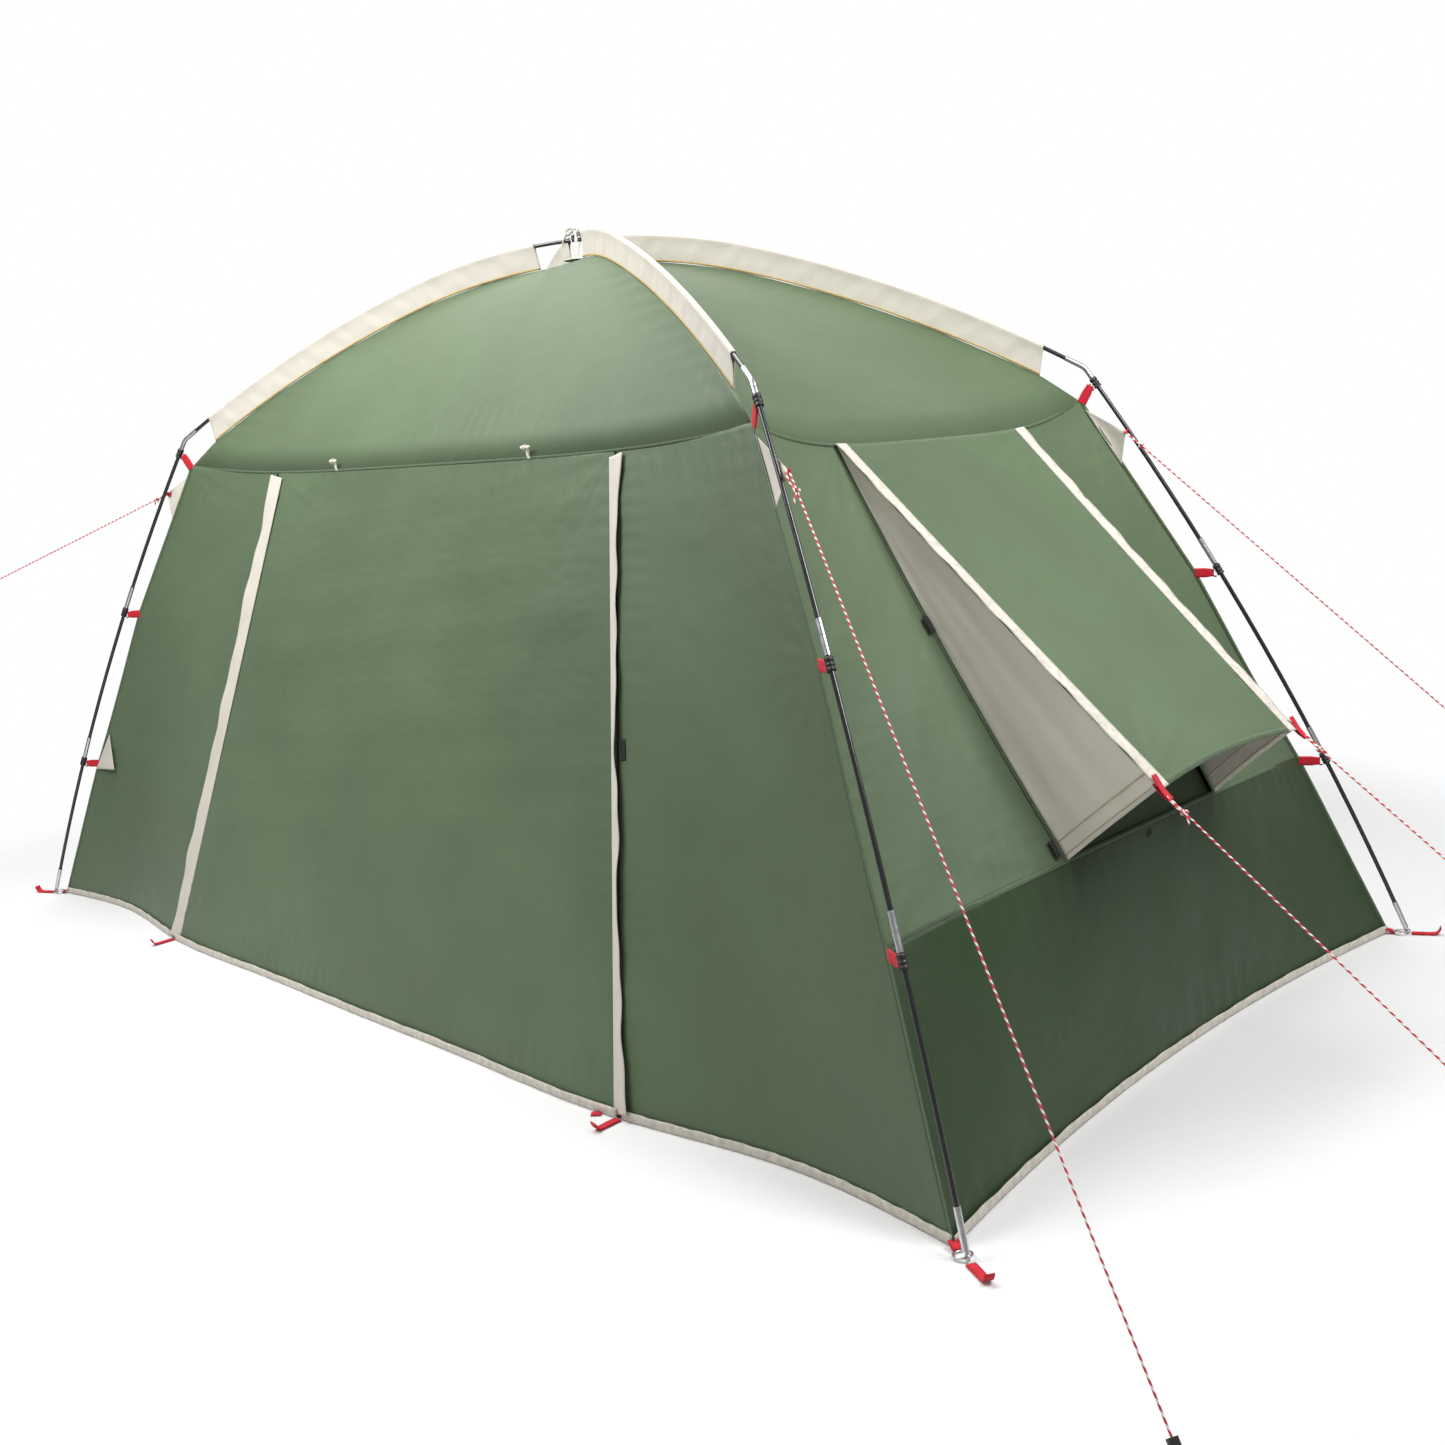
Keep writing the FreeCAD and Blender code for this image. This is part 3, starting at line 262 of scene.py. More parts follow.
def braid(name, ground, fleck, pitch):
    """A braided cord. Around is U, from 0 to 1, and along is V, in metres."""
    material, tree, shader = fresh(name, ground, 0.6)
    parts = add(tree, "SeparateXYZ", add(tree, "TexCoord").outputs["UV"])
    steps = maths(tree, "ADD", maths(tree, "DIVIDE", parts.outputs[1], pitch), parts.outputs[0])
    white = maths(tree, "LESS_THAN", maths(tree, "FRACT", steps), 0.4)
    tree.links.new(mix(tree, white, (*ground, 1), (*fleck, 1)), shader.inputs["Base Color"])
    fine = maths(tree, "MULTIPLY", parts.outputs[1], TAU / 0.0028)
    around = maths(tree, "MULTIPLY", parts.outputs[0], TAU * 3)
    waves = [maths(tree, "SINE", maths(tree, way, fine, around)) for way in ("ADD", "SUBTRACT")]
    strands = maths(tree, "MULTIPLY", *waves)
    bump(tree, shader, strands, 0.7, 0.0004)
    return material


def solid_finish(name, colour, roughness, metallic=0.0, grain=300.0, depth=0.0001, wear=0.15, coat=0.0):
    """Metal or moulded plastic: fine grain, uneven gloss and slightly uneven colour."""
    material, tree, shader = fresh(name, colour, roughness, metallic)
    place = add(tree, "TexCoord").outputs["Object"]
    tint = uneven(tree, noise(tree, place, 40.0, 5), colour, 1 - wear, 1 + wear)
    tree.links.new(tint, shader.inputs["Base Color"])
    gloss = noise(tree, place, 90.0, 6)
    worn = ramp(tree, gloss, greys(0.3, roughness * 0.75, 0.7, min(1.0, roughness * 1.3)))
    tree.links.new(worn, shader.inputs["Roughness"])
    shader.inputs["Coat Weight"].default_value = coat
    shader.inputs["Coat Roughness"].default_value = 0.12
    bump(tree, shader, noise(tree, place, grain, 3), 0.3, depth)
    return material


def make_materials():
    green = (0.089, 0.133, 0.070)
    dark = (0.024, 0.050, 0.016)
    cream = (0.58, 0.545, 0.475)
    red = (0.55, 0.010, 0.026)
    ochre = (0.42, 0.30, 0.10)
    return {
        "green_cloth": cloth("green_cloth", green),
        "seam_green": webbing("seam_green", green, 0.012, shade(green, 0.7)),
        "dark_green_cloth": cloth("dark_green_cloth", dark, 0.48),
        "cream_cloth": cloth("cream_cloth", cream, 0.6, 0.15, fade=0.05, crease=1.4),
        "cream_tape": webbing("cream_tape", cream, 0.04, shade(cream, 0.62)),
        # painted light: the gussets' beige is made brighter than the cloth itself, to stand in for light
        # shining through it from outside
        "beige_cloth": cloth("beige_cloth", (0.87, 0.82, 0.715), 0.6, 0.15, fade=0.06, crease=1.2),
        "ochre_binding": webbing("ochre_binding", shade(ochre, 1.15), 0.008),
        # painted light: the window net is a lighter green than a dark net, to make up for the awning's shade
        # over it
        "window_net": cloth("window_net", (0.085, 0.115, 0.065), 0.7, 0.0, thread=0.0022, see_through=0.12),
        "red_webbing": webbing("red_webbing", red, 0.022, shade(red, 0.55)),
        "white_webbing": webbing("white_webbing", (0.78, 0.76, 0.70), 0.018, (0.6, 0.58, 0.5)),
        "pole_black": solid_finish("pole_black", (0.012, 0.013, 0.014), 0.28, grain=900.0, coat=0.4),
        "metal_silver": solid_finish("metal_silver", (0.62, 0.63, 0.64), 0.3, 1.0, 700.0, 0.00005, 0.08),
        "wire_steel": solid_finish("wire_steel", (0.56, 0.56, 0.55), 0.26, 1.0, 800.0, 0.00005, 0.1),
        "elastic_white": solid_finish("elastic_white", (0.7, 0.7, 0.68), 0.7, 0.0, 1500.0, 0.0002),
        "clip_black": solid_finish("clip_black", (0.016, 0.016, 0.017), 0.42, 0.0, 1100.0),
        "zip_dark": webbing("zip_dark", (0.045, 0.062, 0.036), 0.02),
        "zip_metal": solid_finish("zip_metal", (0.42, 0.41, 0.38), 0.3, 1.0, 900.0, 0.00005),
        "hook_black": webbing("hook_black", (0.014, 0.015, 0.015), 0.018),
        "guy_cord": braid("guy_cord", (0.60, 0.030, 0.050), (0.86, 0.84, 0.80), 0.017),
        "runner_black": solid_finish("runner_black", (0.018, 0.018, 0.019), 0.4, 0.0, 1000.0),
        "toggle_cream": solid_finish("toggle_cream", (0.74, 0.68, 0.56), 0.45, 0.0, 500.0),
        "floor": solid_finish("floor", (0.74, 0.74, 0.74), 0.85, 0.0, 120.0, 0.0001, 0.01),
    }


# ---------------------------------------------------------------- mesh helpers
def spline(knots, values, at):
    """Natural cubic spline through values, one for each knot, read at many places."""
    knots, values, at = (np.asarray(item, float) for item in (knots, values, at))
    gaps = np.diff(knots)
    count = len(knots)
    system = np.eye(count)
    load = np.zeros_like(values)
    for k in range(1, count - 1):
        system[k, k - 1 : k + 2] = gaps[k - 1], 2 * (gaps[k - 1] + gaps[k]), gaps[k]
        load[k] = 6 * ((values[k + 1] - values[k]) / gaps[k] - (values[k] - values[k - 1]) / gaps[k - 1])
    bend = np.linalg.solve(system, load.reshape(count, -1)).reshape(values.shape)
    k = np.clip(np.searchsorted(knots, at, side="right") - 1, 0, count - 2)
    wide = (len(at),) + (1,) * (values.ndim - 1)
    gap = gaps[k].reshape(wide)
    a = ((knots[k + 1] - at) / gaps[k]).reshape(wide)
    b = 1 - a
    curve = ((a**3 - a) * bend[k] + (b**3 - b) * bend[k + 1]) * gap**2 / 6
    return a * values[k] + b * values[k + 1] + curve


def smooth_path(points, count):
    """A smooth line through a few points, evenly read."""
    points = np.asarray(points, float)
    knots = np.concatenate([[0], np.cumsum(np.linalg.norm(np.diff(points, axis=0), axis=1))])
    return spline(knots, points, np.linspace(0, knots[-1], count))


def unit(vectors):
    return vectors / np.maximum(np.linalg.norm(vectors, axis=-1, keepdims=True), 1e-12)


def grid_normals(grid):
    return unit(np.cross(np.gradient(grid, axis=0), np.gradient(grid, axis=1)))


def grid_uv(grid):
    """Flat places of a grid's points, in metres: U from the middle line, V along it."""
    m, n = grid.shape[:2]
    across = np.linalg.norm(np.diff(grid, axis=0), axis=2).sum(axis=0)
    along = np.linalg.norm(np.diff(grid[m // 2], axis=0), axis=1)
    v = np.concatenate([[0], np.cumsum(along)])
    u = (np.linspace(0, 1, m)[:, None] - 0.5) * across[None, :]
    return np.stack([u, np.broadcast_to(v, (m, n))], axis=2)


def make_object(name, verts, faces, uvs, material, flat_from=None):
    """A mesh object from points, faces of point numbers, and one UV place for each point."""
    mesh = bpy.data.meshes.new(name)
    mesh.from_pydata(verts.tolist(), [], faces.tolist())
    mesh.polygons.foreach_set("use_smooth", [True] * len(faces))
    if flat_from is not None:
        for polygon in mesh.polygons[flat_from:]:
            polygon.use_smooth = False
    layer = mesh.uv_layers.new(name="UVMap")
    corners = faces.reshape(-1)
    layer.data.foreach_set("uv", uvs[corners].astype(np.float32).reshape(-1))
    mesh.materials.append(MATERIALS[material])
    mesh.update()
    obj = bpy.data.objects.new(name, mesh)
    bpy.context.collection.objects.link(obj)
    return obj


def cloth_sheet(name, grid, material, outward, thick=0.0009):
    """A sheet with two faces and an edge, from a grid of points. Its given face looks outward."""
    grid = np.asarray(grid, float)
    normals = grid_normals(grid)
    if (normals * np.asarray(outward, float)).sum() < 0:
        grid = grid[::-1]
        normals = grid_normals(grid)
    m, n = grid.shape[:2]
    number = np.arange(m * n).reshape(m, n)
    quads = np.stack([number[:-1, :-1], number[1:, :-1], number[1:, 1:], number[:-1, 1:]], axis=2)
    top = quads.reshape(-1, 4)
    under = top[:, ::-1] + m * n
    rim = np.concatenate([number[:-1, 0], number[-1, :-1], number[:0:-1, -1], number[0, :0:-1]])
    after = np.roll(rim, -1)
    sides = np.stack([after, rim, rim + m * n, after + m * n], axis=1)
    points = np.concatenate([grid.reshape(-1, 3), (grid - normals * thick).reshape(-1, 3)])
    uvs = grid_uv(grid).reshape(-1, 2)
    faces = np.concatenate([top, under, sides])
    obj = make_object(name, points, faces, np.concatenate([uvs, uvs]), material, 2 * len(top))
    obj["cut"] = cut_size(grid)
    return obj


def cut_size(grid):
    """Width, length and area of the flat cloth that a grid was cut from."""
    across = np.linalg.norm(np.diff(grid, axis=0), axis=2).sum(axis=0)
    along = np.linalg.norm(np.diff(grid, axis=1), axis=2).sum(axis=1)
    a, b = grid[1:, 1:] - grid[:-1, :-1], grid[1:, :-1] - grid[:-1, 1:]
    area = np.linalg.norm(np.cross(a, b), axis=2).sum() / 2
    return float(across.max()), float(along.max()), float(area)


def strap(name, path, widths, width, material, thick=0.0016, columns=5, outward=None):
    """A flat strap along a path, its width along the given directions."""
    path = np.asarray(path, float)
    widths = unit(np.broadcast_to(np.asarray(widths, float), path.shape))
    steps = np.linspace(-0.5, 0.5, columns)[:, None, None]
    grid = path[None] + widths[None] * steps * np.broadcast_to(width, len(path))[None, :, None]
    if outward is None:
        outward = grid_normals(grid)[columns // 2].mean(axis=0)
    return cloth_sheet(name, grid, material, outward, thick)


def tube_mesh(name, path, radius, material, sides=10, closed=False):
    """A round tube along a path. U goes round it and V along it."""
    path = np.asarray(path, float)
    if closed:
        path = np.concatenate([path, path[:1]])
    heading = unit(np.gradient(path, axis=0))
    if closed:
        heading[0] = heading[-1] = unit(path[1] - path[-2])
    side = np.cross(heading[0], [0.31, 0.17, 0.93])
    sideways = [side / np.linalg.norm(side)]
    for step in heading[1:]:
        last = sideways[-1] - step * np.dot(sideways[-1], step)
        sideways.append(last / np.linalg.norm(last))
    sideways = np.array(sideways)
    other = np.cross(heading, sideways)
    turn = np.linspace(0, TAU, sides + 1)
    ring = np.cos(turn)[None, :, None] * sideways[:, None] + np.sin(turn)[None, :, None] * other[:, None]
    size = np.broadcast_to(np.asarray(radius, float), len(path))
    grid = path[:, None] + ring * size[:, None, None]
    run = np.concatenate([[0], np.cumsum(np.linalg.norm(np.diff(path, axis=0), axis=1))])
    m, n = grid.shape[:2]
    number = np.arange(m * n).reshape(m, n)
    quads = np.stack([number[:-1, :-1], number[:-1, 1:], number[1:, 1:], number[1:, :-1]], axis=2)
    faces = quads.reshape(-1, 4)
    uvs = np.stack([np.broadcast_to(turn / TAU, (m, n)), np.broadcast_to(run[:, None], (m, n))], axis=2)
    obj = make_object(name, grid.reshape(-1, 3), faces, uvs.reshape(-1, 2), material)
    close_tube(obj, closed)
    return obj


def close_tube(obj, closed):
    """Joins the tube's first and last rows round it, and caps its ends."""
    shape = bmesh.new()
    shape.from_mesh(obj.data)
    bmesh.ops.remove_doubles(shape, verts=shape.verts, dist=1e-6)
    if not closed:
        rims = [edge for edge in shape.edges if edge.is_boundary]
        bmesh.ops.holes_fill(shape, edges=rims, sides=0)
    bmesh.ops.recalc_face_normals(shape, faces=shape.faces)
    shape.to_mesh(obj.data)
    shape.free()


def lathe(name, profile, base, axis, material, sides=28):
    """A turned piece: profile points are (radius, distance along the axis)."""
    axis = Vector(axis).normalized()
    points = [tuple(Vector(base) + axis * along) for _, along in profile]
    return tube_mesh(name, points, [radius for radius, _ in profile], material, sides)


def merged(name, parts):
    """One object from several of the same material."""
    shape = bmesh.new()
    for part in parts:
        shape.from_mesh(part.data)
    keep = parts[0]
    for part in parts[1:]:
        bpy.data.objects.remove(part)
    shape.to_mesh(keep.data)
    shape.free()
    keep.name = name
    return keep


# ---------------------------------------------------------------- lines of the frame, as in the CAD
FOOT_X, FOOT_Y = 2.0, 1.02
TURN = math.atan2(FOOT_Y, FOOT_X)
LEG_BEND, LEAN_FOOT = 8.880, math.radians(21.9)
CORNERS = {
    "front_right": -TURN,
    "back_right": TURN,
    "back_left": math.pi - TURN,
    "front_left": math.pi + TURN,
}
CLIP_RUNS = (0.534, 1.118, 1.716)
SEAM_TOP, SEAM_TOP_HEIGHT, SEAM_FOOT = 1.410, 1.478, 2.189
SEAM_BULGE = 0.100
TOP_TAB_HEIGHT = 1.469
MIRROR_X = np.array([-1, 1, 1])
MIRROR_Y = np.array([1, -1, 1])


def leg_at(run):
    lean = LEAN_FOOT + run / LEG_BEND
    x = math.hypot(FOOT_X, FOOT_Y) + LEG_BEND * (math.cos(lean) - math.cos(LEAN_FOOT))
    z = LEG_BEND * (math.sin(lean) - math.sin(LEAN_FOOT))
    return np.array([x, 0, z]), np.array([-math.sin(lean), 0, math.cos(lean)])


class Arch:
    def __init__(self, top_turn):
        end_slope = math.radians(30.3)
        self.top_turn = math.radians(top_turn)
        self.side = 4.1
        self.top = self.side - (self.side * math.sin(end_slope) - 1.392) / math.sin(self.top_turn)
        self.top_run = self.top * self.top_turn
        self.run = self.top_run + self.side * (end_slope - self.top_turn)
        drop = self.side * (math.cos(self.top_turn) - math.cos(end_slope))
        self.height = 1.583 + self.top * (1 - math.cos(self.top_turn)) + drop

    def at(self, run):
        """Point and outward normal, a given length from the crossing."""
        turn = min(run, self.top_run) / self.top
        x = self.top * math.sin(turn)
        z = self.height - self.top * (1 - math.cos(turn))
        if run > self.top_run:
            turn = self.top_turn + (run - self.top_run) / self.side
            x += self.side * (math.sin(turn) - math.sin(self.top_turn))
            z -= self.side * (math.cos(self.top_turn) - math.cos(turn))
        return np.array([x, 0, z]), np.array([math.sin(turn), 0, math.cos(turn)])


ARCH_LOW, ARCH_HIGH = Arch(17.5), Arch(15.45)
CORNER_ARCH = {
    "front_right": ARCH_HIGH,
    "back_right": ARCH_LOW,
    "back_left": ARCH_HIGH,
    "front_left": ARCH_LOW,
}


def placed(corner, points):
    """Points of a corner's upright plane (outward, aside, up), in the tent's frame."""
    turn = CORNERS[corner]
    out = np.array([math.cos(turn), math.sin(turn), 0])
    aside = np.array([-math.sin(turn), math.cos(turn), 0])
    points = np.asarray(points, float)
    return points[..., :1] * out + points[..., 1:2] * aside + points[..., 2:] * np.array([0, 0, 1.0])


TAB_HEIGHTS = [float(leg_at(run)[0][2]) - 0.008 for run in CLIP_RUNS[:2]] + [TOP_TAB_HEIGHT]
TAB_PULLS = ((0.006, 0.30), (0.017, 0.42))


def corner_reach(height):
    """How far out the corner seam stands, pulled towards each webbing tab."""
    part = np.asarray(height, float) / SEAM_TOP_HEIGHT
    reach = SEAM_FOOT + (SEAM_TOP - SEAM_FOOT) * part + SEAM_BULGE * part * (1 - part)
    for tab, (pull, spread) in zip(TAB_HEIGHTS, TAB_PULLS):
        near = np.clip(1 - np.abs(np.asarray(height, float) - tab) / spread, 0, 1)
        reach = reach + pull * near**1.3
    return reach


def corner_line(corner, heights):
    heights = np.asarray(heights, float)
    reach = corner_reach(heights)
    return placed(corner, np.stack([reach, 0 * heights, heights], axis=-1))


# ---------------------------------------------------------------- surfaces of the cloth
ROOF = {
    "front": ("front_left", "front_right", (0, 0.040, -0.043)),
    "right": ("front_right", "back_right", (-0.006, 0, -0.068)),
    "back": ("back_right", "back_left", (0, -0.040, -0.043)),
    "left": ("back_left", "front_left", (0.006, 0, -0.068)),
}
SEAM_RUN = 1.452
SEAM_DROP = 0.070


def roof_edge(side, u):
    """The roof panel's bottom edge, for u from -1 at its first corner to 1 at its second."""
    return roof_line(side, SEAM_RUN, np.asarray(u, float))


def roof_line(side, run, u):
    first, second, dip = ROOF[side]
    ends = []
    for corner in (first, second):
        if run >= SEAM_RUN:
            ends.append(placed(corner, (SEAM_TOP, 0, SEAM_TOP_HEIGHT)))
        else:
            point, normal = CORNER_ARCH[corner].at(run)
            ends.append(placed(corner, point - normal * SEAM_DROP))
    share = (run / SEAM_RUN) ** 1.2
    u = np.asarray(u, float)[..., None]
    flat = ends[0] * (1 - u) / 2 + ends[1] * (1 + u) / 2
    return flat + np.array(dip) * ((1 - u**4) * share)


def ripple_fans(grid, fans):
    """Moves a grid out and in, in creases that spread from points.

    Each fan is (point, creases, reach, height).
    """
    normals = grid_normals(grid)
    along_u = unit(np.gradient(grid, axis=0))
    along_v = np.cross(normals, along_u)
    moved = grid.copy()
    for index, (origin, creases, reach, height) in enumerate(fans):
        away = grid - np.asarray(origin, float)
        distance = np.linalg.norm(away, axis=2)
        angle = np.arctan2((away * along_v).sum(axis=2), (away * along_u).sum(axis=2))
        x = distance / (reach * 0.4)
        strength = height * 0.42 * x * np.exp(1 - x)
        wave = np.sin(creases * angle + index * 1.7) * 0.6 + np.sin(creases * 2.3 * angle + index) * 0.4
        moved += normals * (strength * wave)[..., None]
    return moved


def undulate(grid, height, spacing, count=9, stretch=(1.0, 1.0)):
    """Gentle uneven swells, none at the edges. Height and spacing in metres."""
    uv = grid_uv(grid) * np.asarray(stretch)
    total = np.zeros(grid.shape[:2])
    for _ in range(count):
        angle = RANDOM.uniform(0, TAU)
        pace = TAU / (spacing * RANDOM.uniform(0.6, 1.6))
        phase = RANDOM.uniform(0, TAU)
        total += np.sin((uv[..., 0] * math.cos(angle) + uv[..., 1] * math.sin(angle)) * pace + phase)
    m, n = grid.shape[:2]
    edge_u = np.minimum(np.arange(m), np.arange(m)[::-1])[:, None] / m
    edge_v = np.minimum(np.arange(n), np.arange(n)[::-1])[None, :] / n
    hold = np.clip(edge_u * 14, 0, 1) * np.clip(edge_v * 14, 0, 1)
    return grid + grid_normals(grid) * (total / math.sqrt(count) * height * hold)[..., None]


PUCKER_DEPTH = 0.035


def pucker(grid, height, pitch):
    """Small ripples square to the seams, dying away from them."""
    uv = grid_uv(grid)
    m, n = grid.shape[:2]
    across, along = np.abs(uv[0, :, 0] - uv[-1, :, 0])[None, :], uv[0, -1, 1]
    i, j = np.arange(m)[:, None] / (m - 1), np.arange(n)[None, :] / (n - 1)
    edges = (
        (i * across, uv[..., 1]),
        ((1 - i) * across, uv[..., 1]),
        (j * along * np.ones((m, 1)), uv[..., 0]),
        ((1 - j) * along * np.ones((m, 1)), uv[..., 0]),
    )
    total = np.zeros((m, n))
    for off, run in edges:
        phase = RANDOM.uniform(0, TAU)
        wave = np.sin(run * TAU / pitch + phase + 1.5 * np.sin(run * 9 + phase))
        uneven = 0.6 + 0.4 * np.sin(run * 5.3 + phase * 2)
        x = off / PUCKER_DEPTH
        total += wave * uneven * x * np.exp(1 - x)
    return grid + grid_normals(grid) * (total * height)[..., None]


# front and back walls: ribs from the foot line to the roof's edge
ZIP_FOOT_X = 1.070
WALL_FEET = ((1.520, -0.955), (ZIP_FOOT_X, -1.012), (0.540, -1.018), (0.0, -1.020))
WALL_HEADS = (1.020, 0.780, 0.395, 0.0)
WALL_BOWS = (0.018, 0.0, 0.0, 0.0)
ROOF_HALF = SEAM_TOP * math.cos(TURN)
CORNER_FOOT_X = SEAM_FOOT * math.cos(TURN)
TUCK = np.array([0, 0.0022, -0.001])
WALL_KNOTS = [-CORNER_FOOT_X, -1.52, -ZIP_FOOT_X, -0.54, 0.0, 0.54, ZIP_FOOT_X, 1.52, CORNER_FOOT_X]


def front_ribs(levels):
    levels = np.asarray(levels, float)
    rights = []
    for (x, y), head, bow in zip(WALL_FEET, WALL_HEADS, WALL_BOWS):
        foot = np.array([x, y, 0.0])
        top = roof_edge("front", head / ROOF_HALF) + TUCK
        line = foot + (top - foot) * levels[:, None]
        line[:, 1] -= bow * 4 * levels * (1 - levels)
        rights.append(line)
    rights.insert(0, corner_line("front_right", levels * SEAM_TOP_HEIGHT))
    return np.array([line * MIRROR_X for line in rights] + rights[-2::-1])


def front_surface(start, end, columns, rows, low=0.0):
    """Points of the front wall between two foot places, from a height share up to the roof."""
    levels = np.linspace(low, 1, rows)
    return spline(WALL_KNOTS, front_ribs(levels), np.linspace(start, end, columns))


END_FOOT, END_SEAM = 1.868, 1.798
BAND_MIDDLE, BAND_CORNER = 0.530, 0.490
WINDOW_LOW_SHARE, WINDOW_HIGH_SHARE = 0.372, 0.570
END_TUCK = np.array([-0.004, 0, -0.001])


def end_foot(share):
    x = END_FOOT + (CORNER_FOOT_X - END_FOOT) * share**2
    return np.stack([x, SEAM_FOOT * math.sin(TURN) * share, 0 * share], axis=-1)


def end_seam(share):
    """The seam over the dark band. It keeps clear of the corner's pull towards its tabs."""
    reach = SEAM_FOOT + (SEAM_TOP - SEAM_FOOT) * BAND_CORNER / SEAM_TOP_HEIGHT
    part = BAND_CORNER / SEAM_TOP_HEIGHT
    reach += SEAM_BULGE * part * (1 - part)
    x = END_SEAM + (reach * math.cos(TURN) - END_SEAM) * share**2
    z = BAND_MIDDLE + (BAND_CORNER - BAND_MIDDLE) * share**2
    return np.stack([x, reach * math.sin(TURN) * share, z], axis=-1)


def end_points(share, rise, upper):
    """Points of the right wall. Share runs from the front corner to the back, rise up a tier."""
    share, rise = np.broadcast_arrays(np.asarray(share, float), np.asarray(rise, float))
    if upper:
        low, high = end_seam(share), roof_edge("right", share) + END_TUCK
    else:
        low, high = end_foot(share), end_seam(share)
    flat = low + (high - low) * rise[..., None]
    chord = corner_chord(rise, upper)
    reach = corner_reach(chord[..., 1])
    extra = (reach - chord[..., 0]) * np.abs(share) ** 10
    aside = np.sign(share) * math.sin(TURN)
    out = np.stack([np.full(share.shape, math.cos(TURN)), aside, 0 * share], axis=-1)
    return flat + out * extra[..., None]


def corner_chord(rise, upper):
    """Reach and height of the straight line between a tier's two ends at the corner."""
    if upper:
        ends = np.array([end_seam(np.array(1.0)), placed("back_right", (SEAM_TOP, 0, SEAM_TOP_HEIGHT))])
        ends[1] += END_TUCK
    else:
        ends = np.array([end_foot(np.array(1.0)), end_seam(np.array(1.0))])
    reach = np.hypot(ends[:, 0], ends[:, 1])
    heights = ends[:, 2]
    along = [line[0] + (line[1] - line[0]) * rise for line in (reach, heights)]
    return np.stack(along, axis=-1)


def end_surface(upper, columns, rows, start=(-1.0, -1.0), end=(1.0, 1.0), low=0.0):
    """A tier of the right wall between two slanted side lines, each given by its share at foot and head."""
    rise = np.linspace(low, 1, rows)[None, :]
    step = np.linspace(0, 1, columns)[:, None]
    left = start[0] + (start[1] - start[0]) * rise
    right = end[0] + (end[1] - end[0]) * rise
    return end_points(left + (right - left) * step, np.broadcast_to(rise, (columns, rows)), upper)


def corner_fans(corner):
    """Creases from the tabs of one corner and from its top and foot."""
    points = corner_line(corner, TAB_HEIGHTS + [SEAM_TOP_HEIGHT, 0.0])
    return [(point, 13, 0.22, 0.0015) for point in points]


def dress(grid, fans=(), swell=0.0022, spacing=0.34, ripple=0.0005, pitch=0.045, stretch=(1.0, 1.0)):
    """The folds of a stretched panel: swells, creases from its fastenings and puckers at its seams."""
    grid = undulate(grid, swell * 0.34, spacing, stretch=stretch)
    grid = undulate(grid, swell * 0.09, spacing * 0.20, 16, (stretch[0] * 0.7, stretch[1] * 1.2))
    grid = ripple_fans(grid, fans)
    return pucker(grid, ripple, pitch)


# ---------------------------------------------------------------- panels
def make_roof():
    outs = {"front": (0, -0.5, 1), "right": (0.5, 0, 1), "back": (0, 0.5, 1), "left": (-0.5, 0, 1)}
    for side, (first, second, _) in ROOF.items():
        long = side in ("front", "back")
        u = np.linspace(-1, 1, 190 if long else 110)
        runs = np.linspace(0.010, SEAM_RUN, 130)
        grid = np.stack([roof_line(side, run, u) for run in runs], axis=1)
        tops = [placed(corner, (SEAM_TOP, 0, SEAM_TOP_HEIGHT)) for corner in (first, second)]
        fans = [(top, 15, 0.24, 0.0024) for top in tops]
        fans.append(((0, 0, 1.97), 17, 0.22, 0.0012))
        grid = dress(grid, fans, 0.0020, 0.46, 0.0008, 0.05)
        obj = cloth_sheet(f"roof_cloth_{side}", grid, "green_cloth", outs[side])
        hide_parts(f"roof_{side}")
        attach(obj, "tent")
        edge = roof_edge(side, np.linspace(-0.995, 0.995, 160))
        out = np.asarray(outs[side], float) * np.array([1, 1, 0])
        lip = np.stack([edge - out * 0.0035 + [0, 0, 0.0022], edge + out * 0.0004 + [0, 0, 0.0002],
                        edge + out * 0.0006 + [0, 0, -0.0030], edge - out * 0.0004 + [0, 0, -0.0062]], axis=0)
        seam = cloth_sheet(f"roof_seam_{side}", lip, "seam_green", (0, 0, 1), 0.0007)
        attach(seam, "tent")


ZIP_GAP = 0.006
WALL_START = 0.004


def make_front():
    panels = (
        ("front_wall_left", "front_left", -CORNER_FOOT_X, -ZIP_FOOT_X - ZIP_GAP),
        ("front_wall_right", "front_right", ZIP_FOOT_X + ZIP_GAP, CORNER_FOOT_X),
    )
    for name, corner, start, end in panels:
        grid = front_surface(start, end, 86, 150, WALL_START)
        grid = dress(grid, corner_fans(corner), 0.0016, 0.30, stretch=(1.0, 0.7))
        obj = cloth_sheet(f"{name}_cloth", grid, "green_cloth", (0, -1, 0.3))
        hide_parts(name)
        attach(obj, "tent")
    grid = front_surface(-CORNER_FOOT_X, CORNER_FOOT_X, 320, 130, WALL_START) * MIRROR_Y
    fans = corner_fans("front_right") + corner_fans("front_left")
    fans = [(point * MIRROR_Y, *rest) for point, *rest in fans]
    grid = dress(grid, fans, 0.0030, 0.36)
    obj = cloth_sheet("back_wall_cloth", grid, "green_cloth", (0, 1, 0.3))
    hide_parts("back_wall")
    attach(obj, "tent")


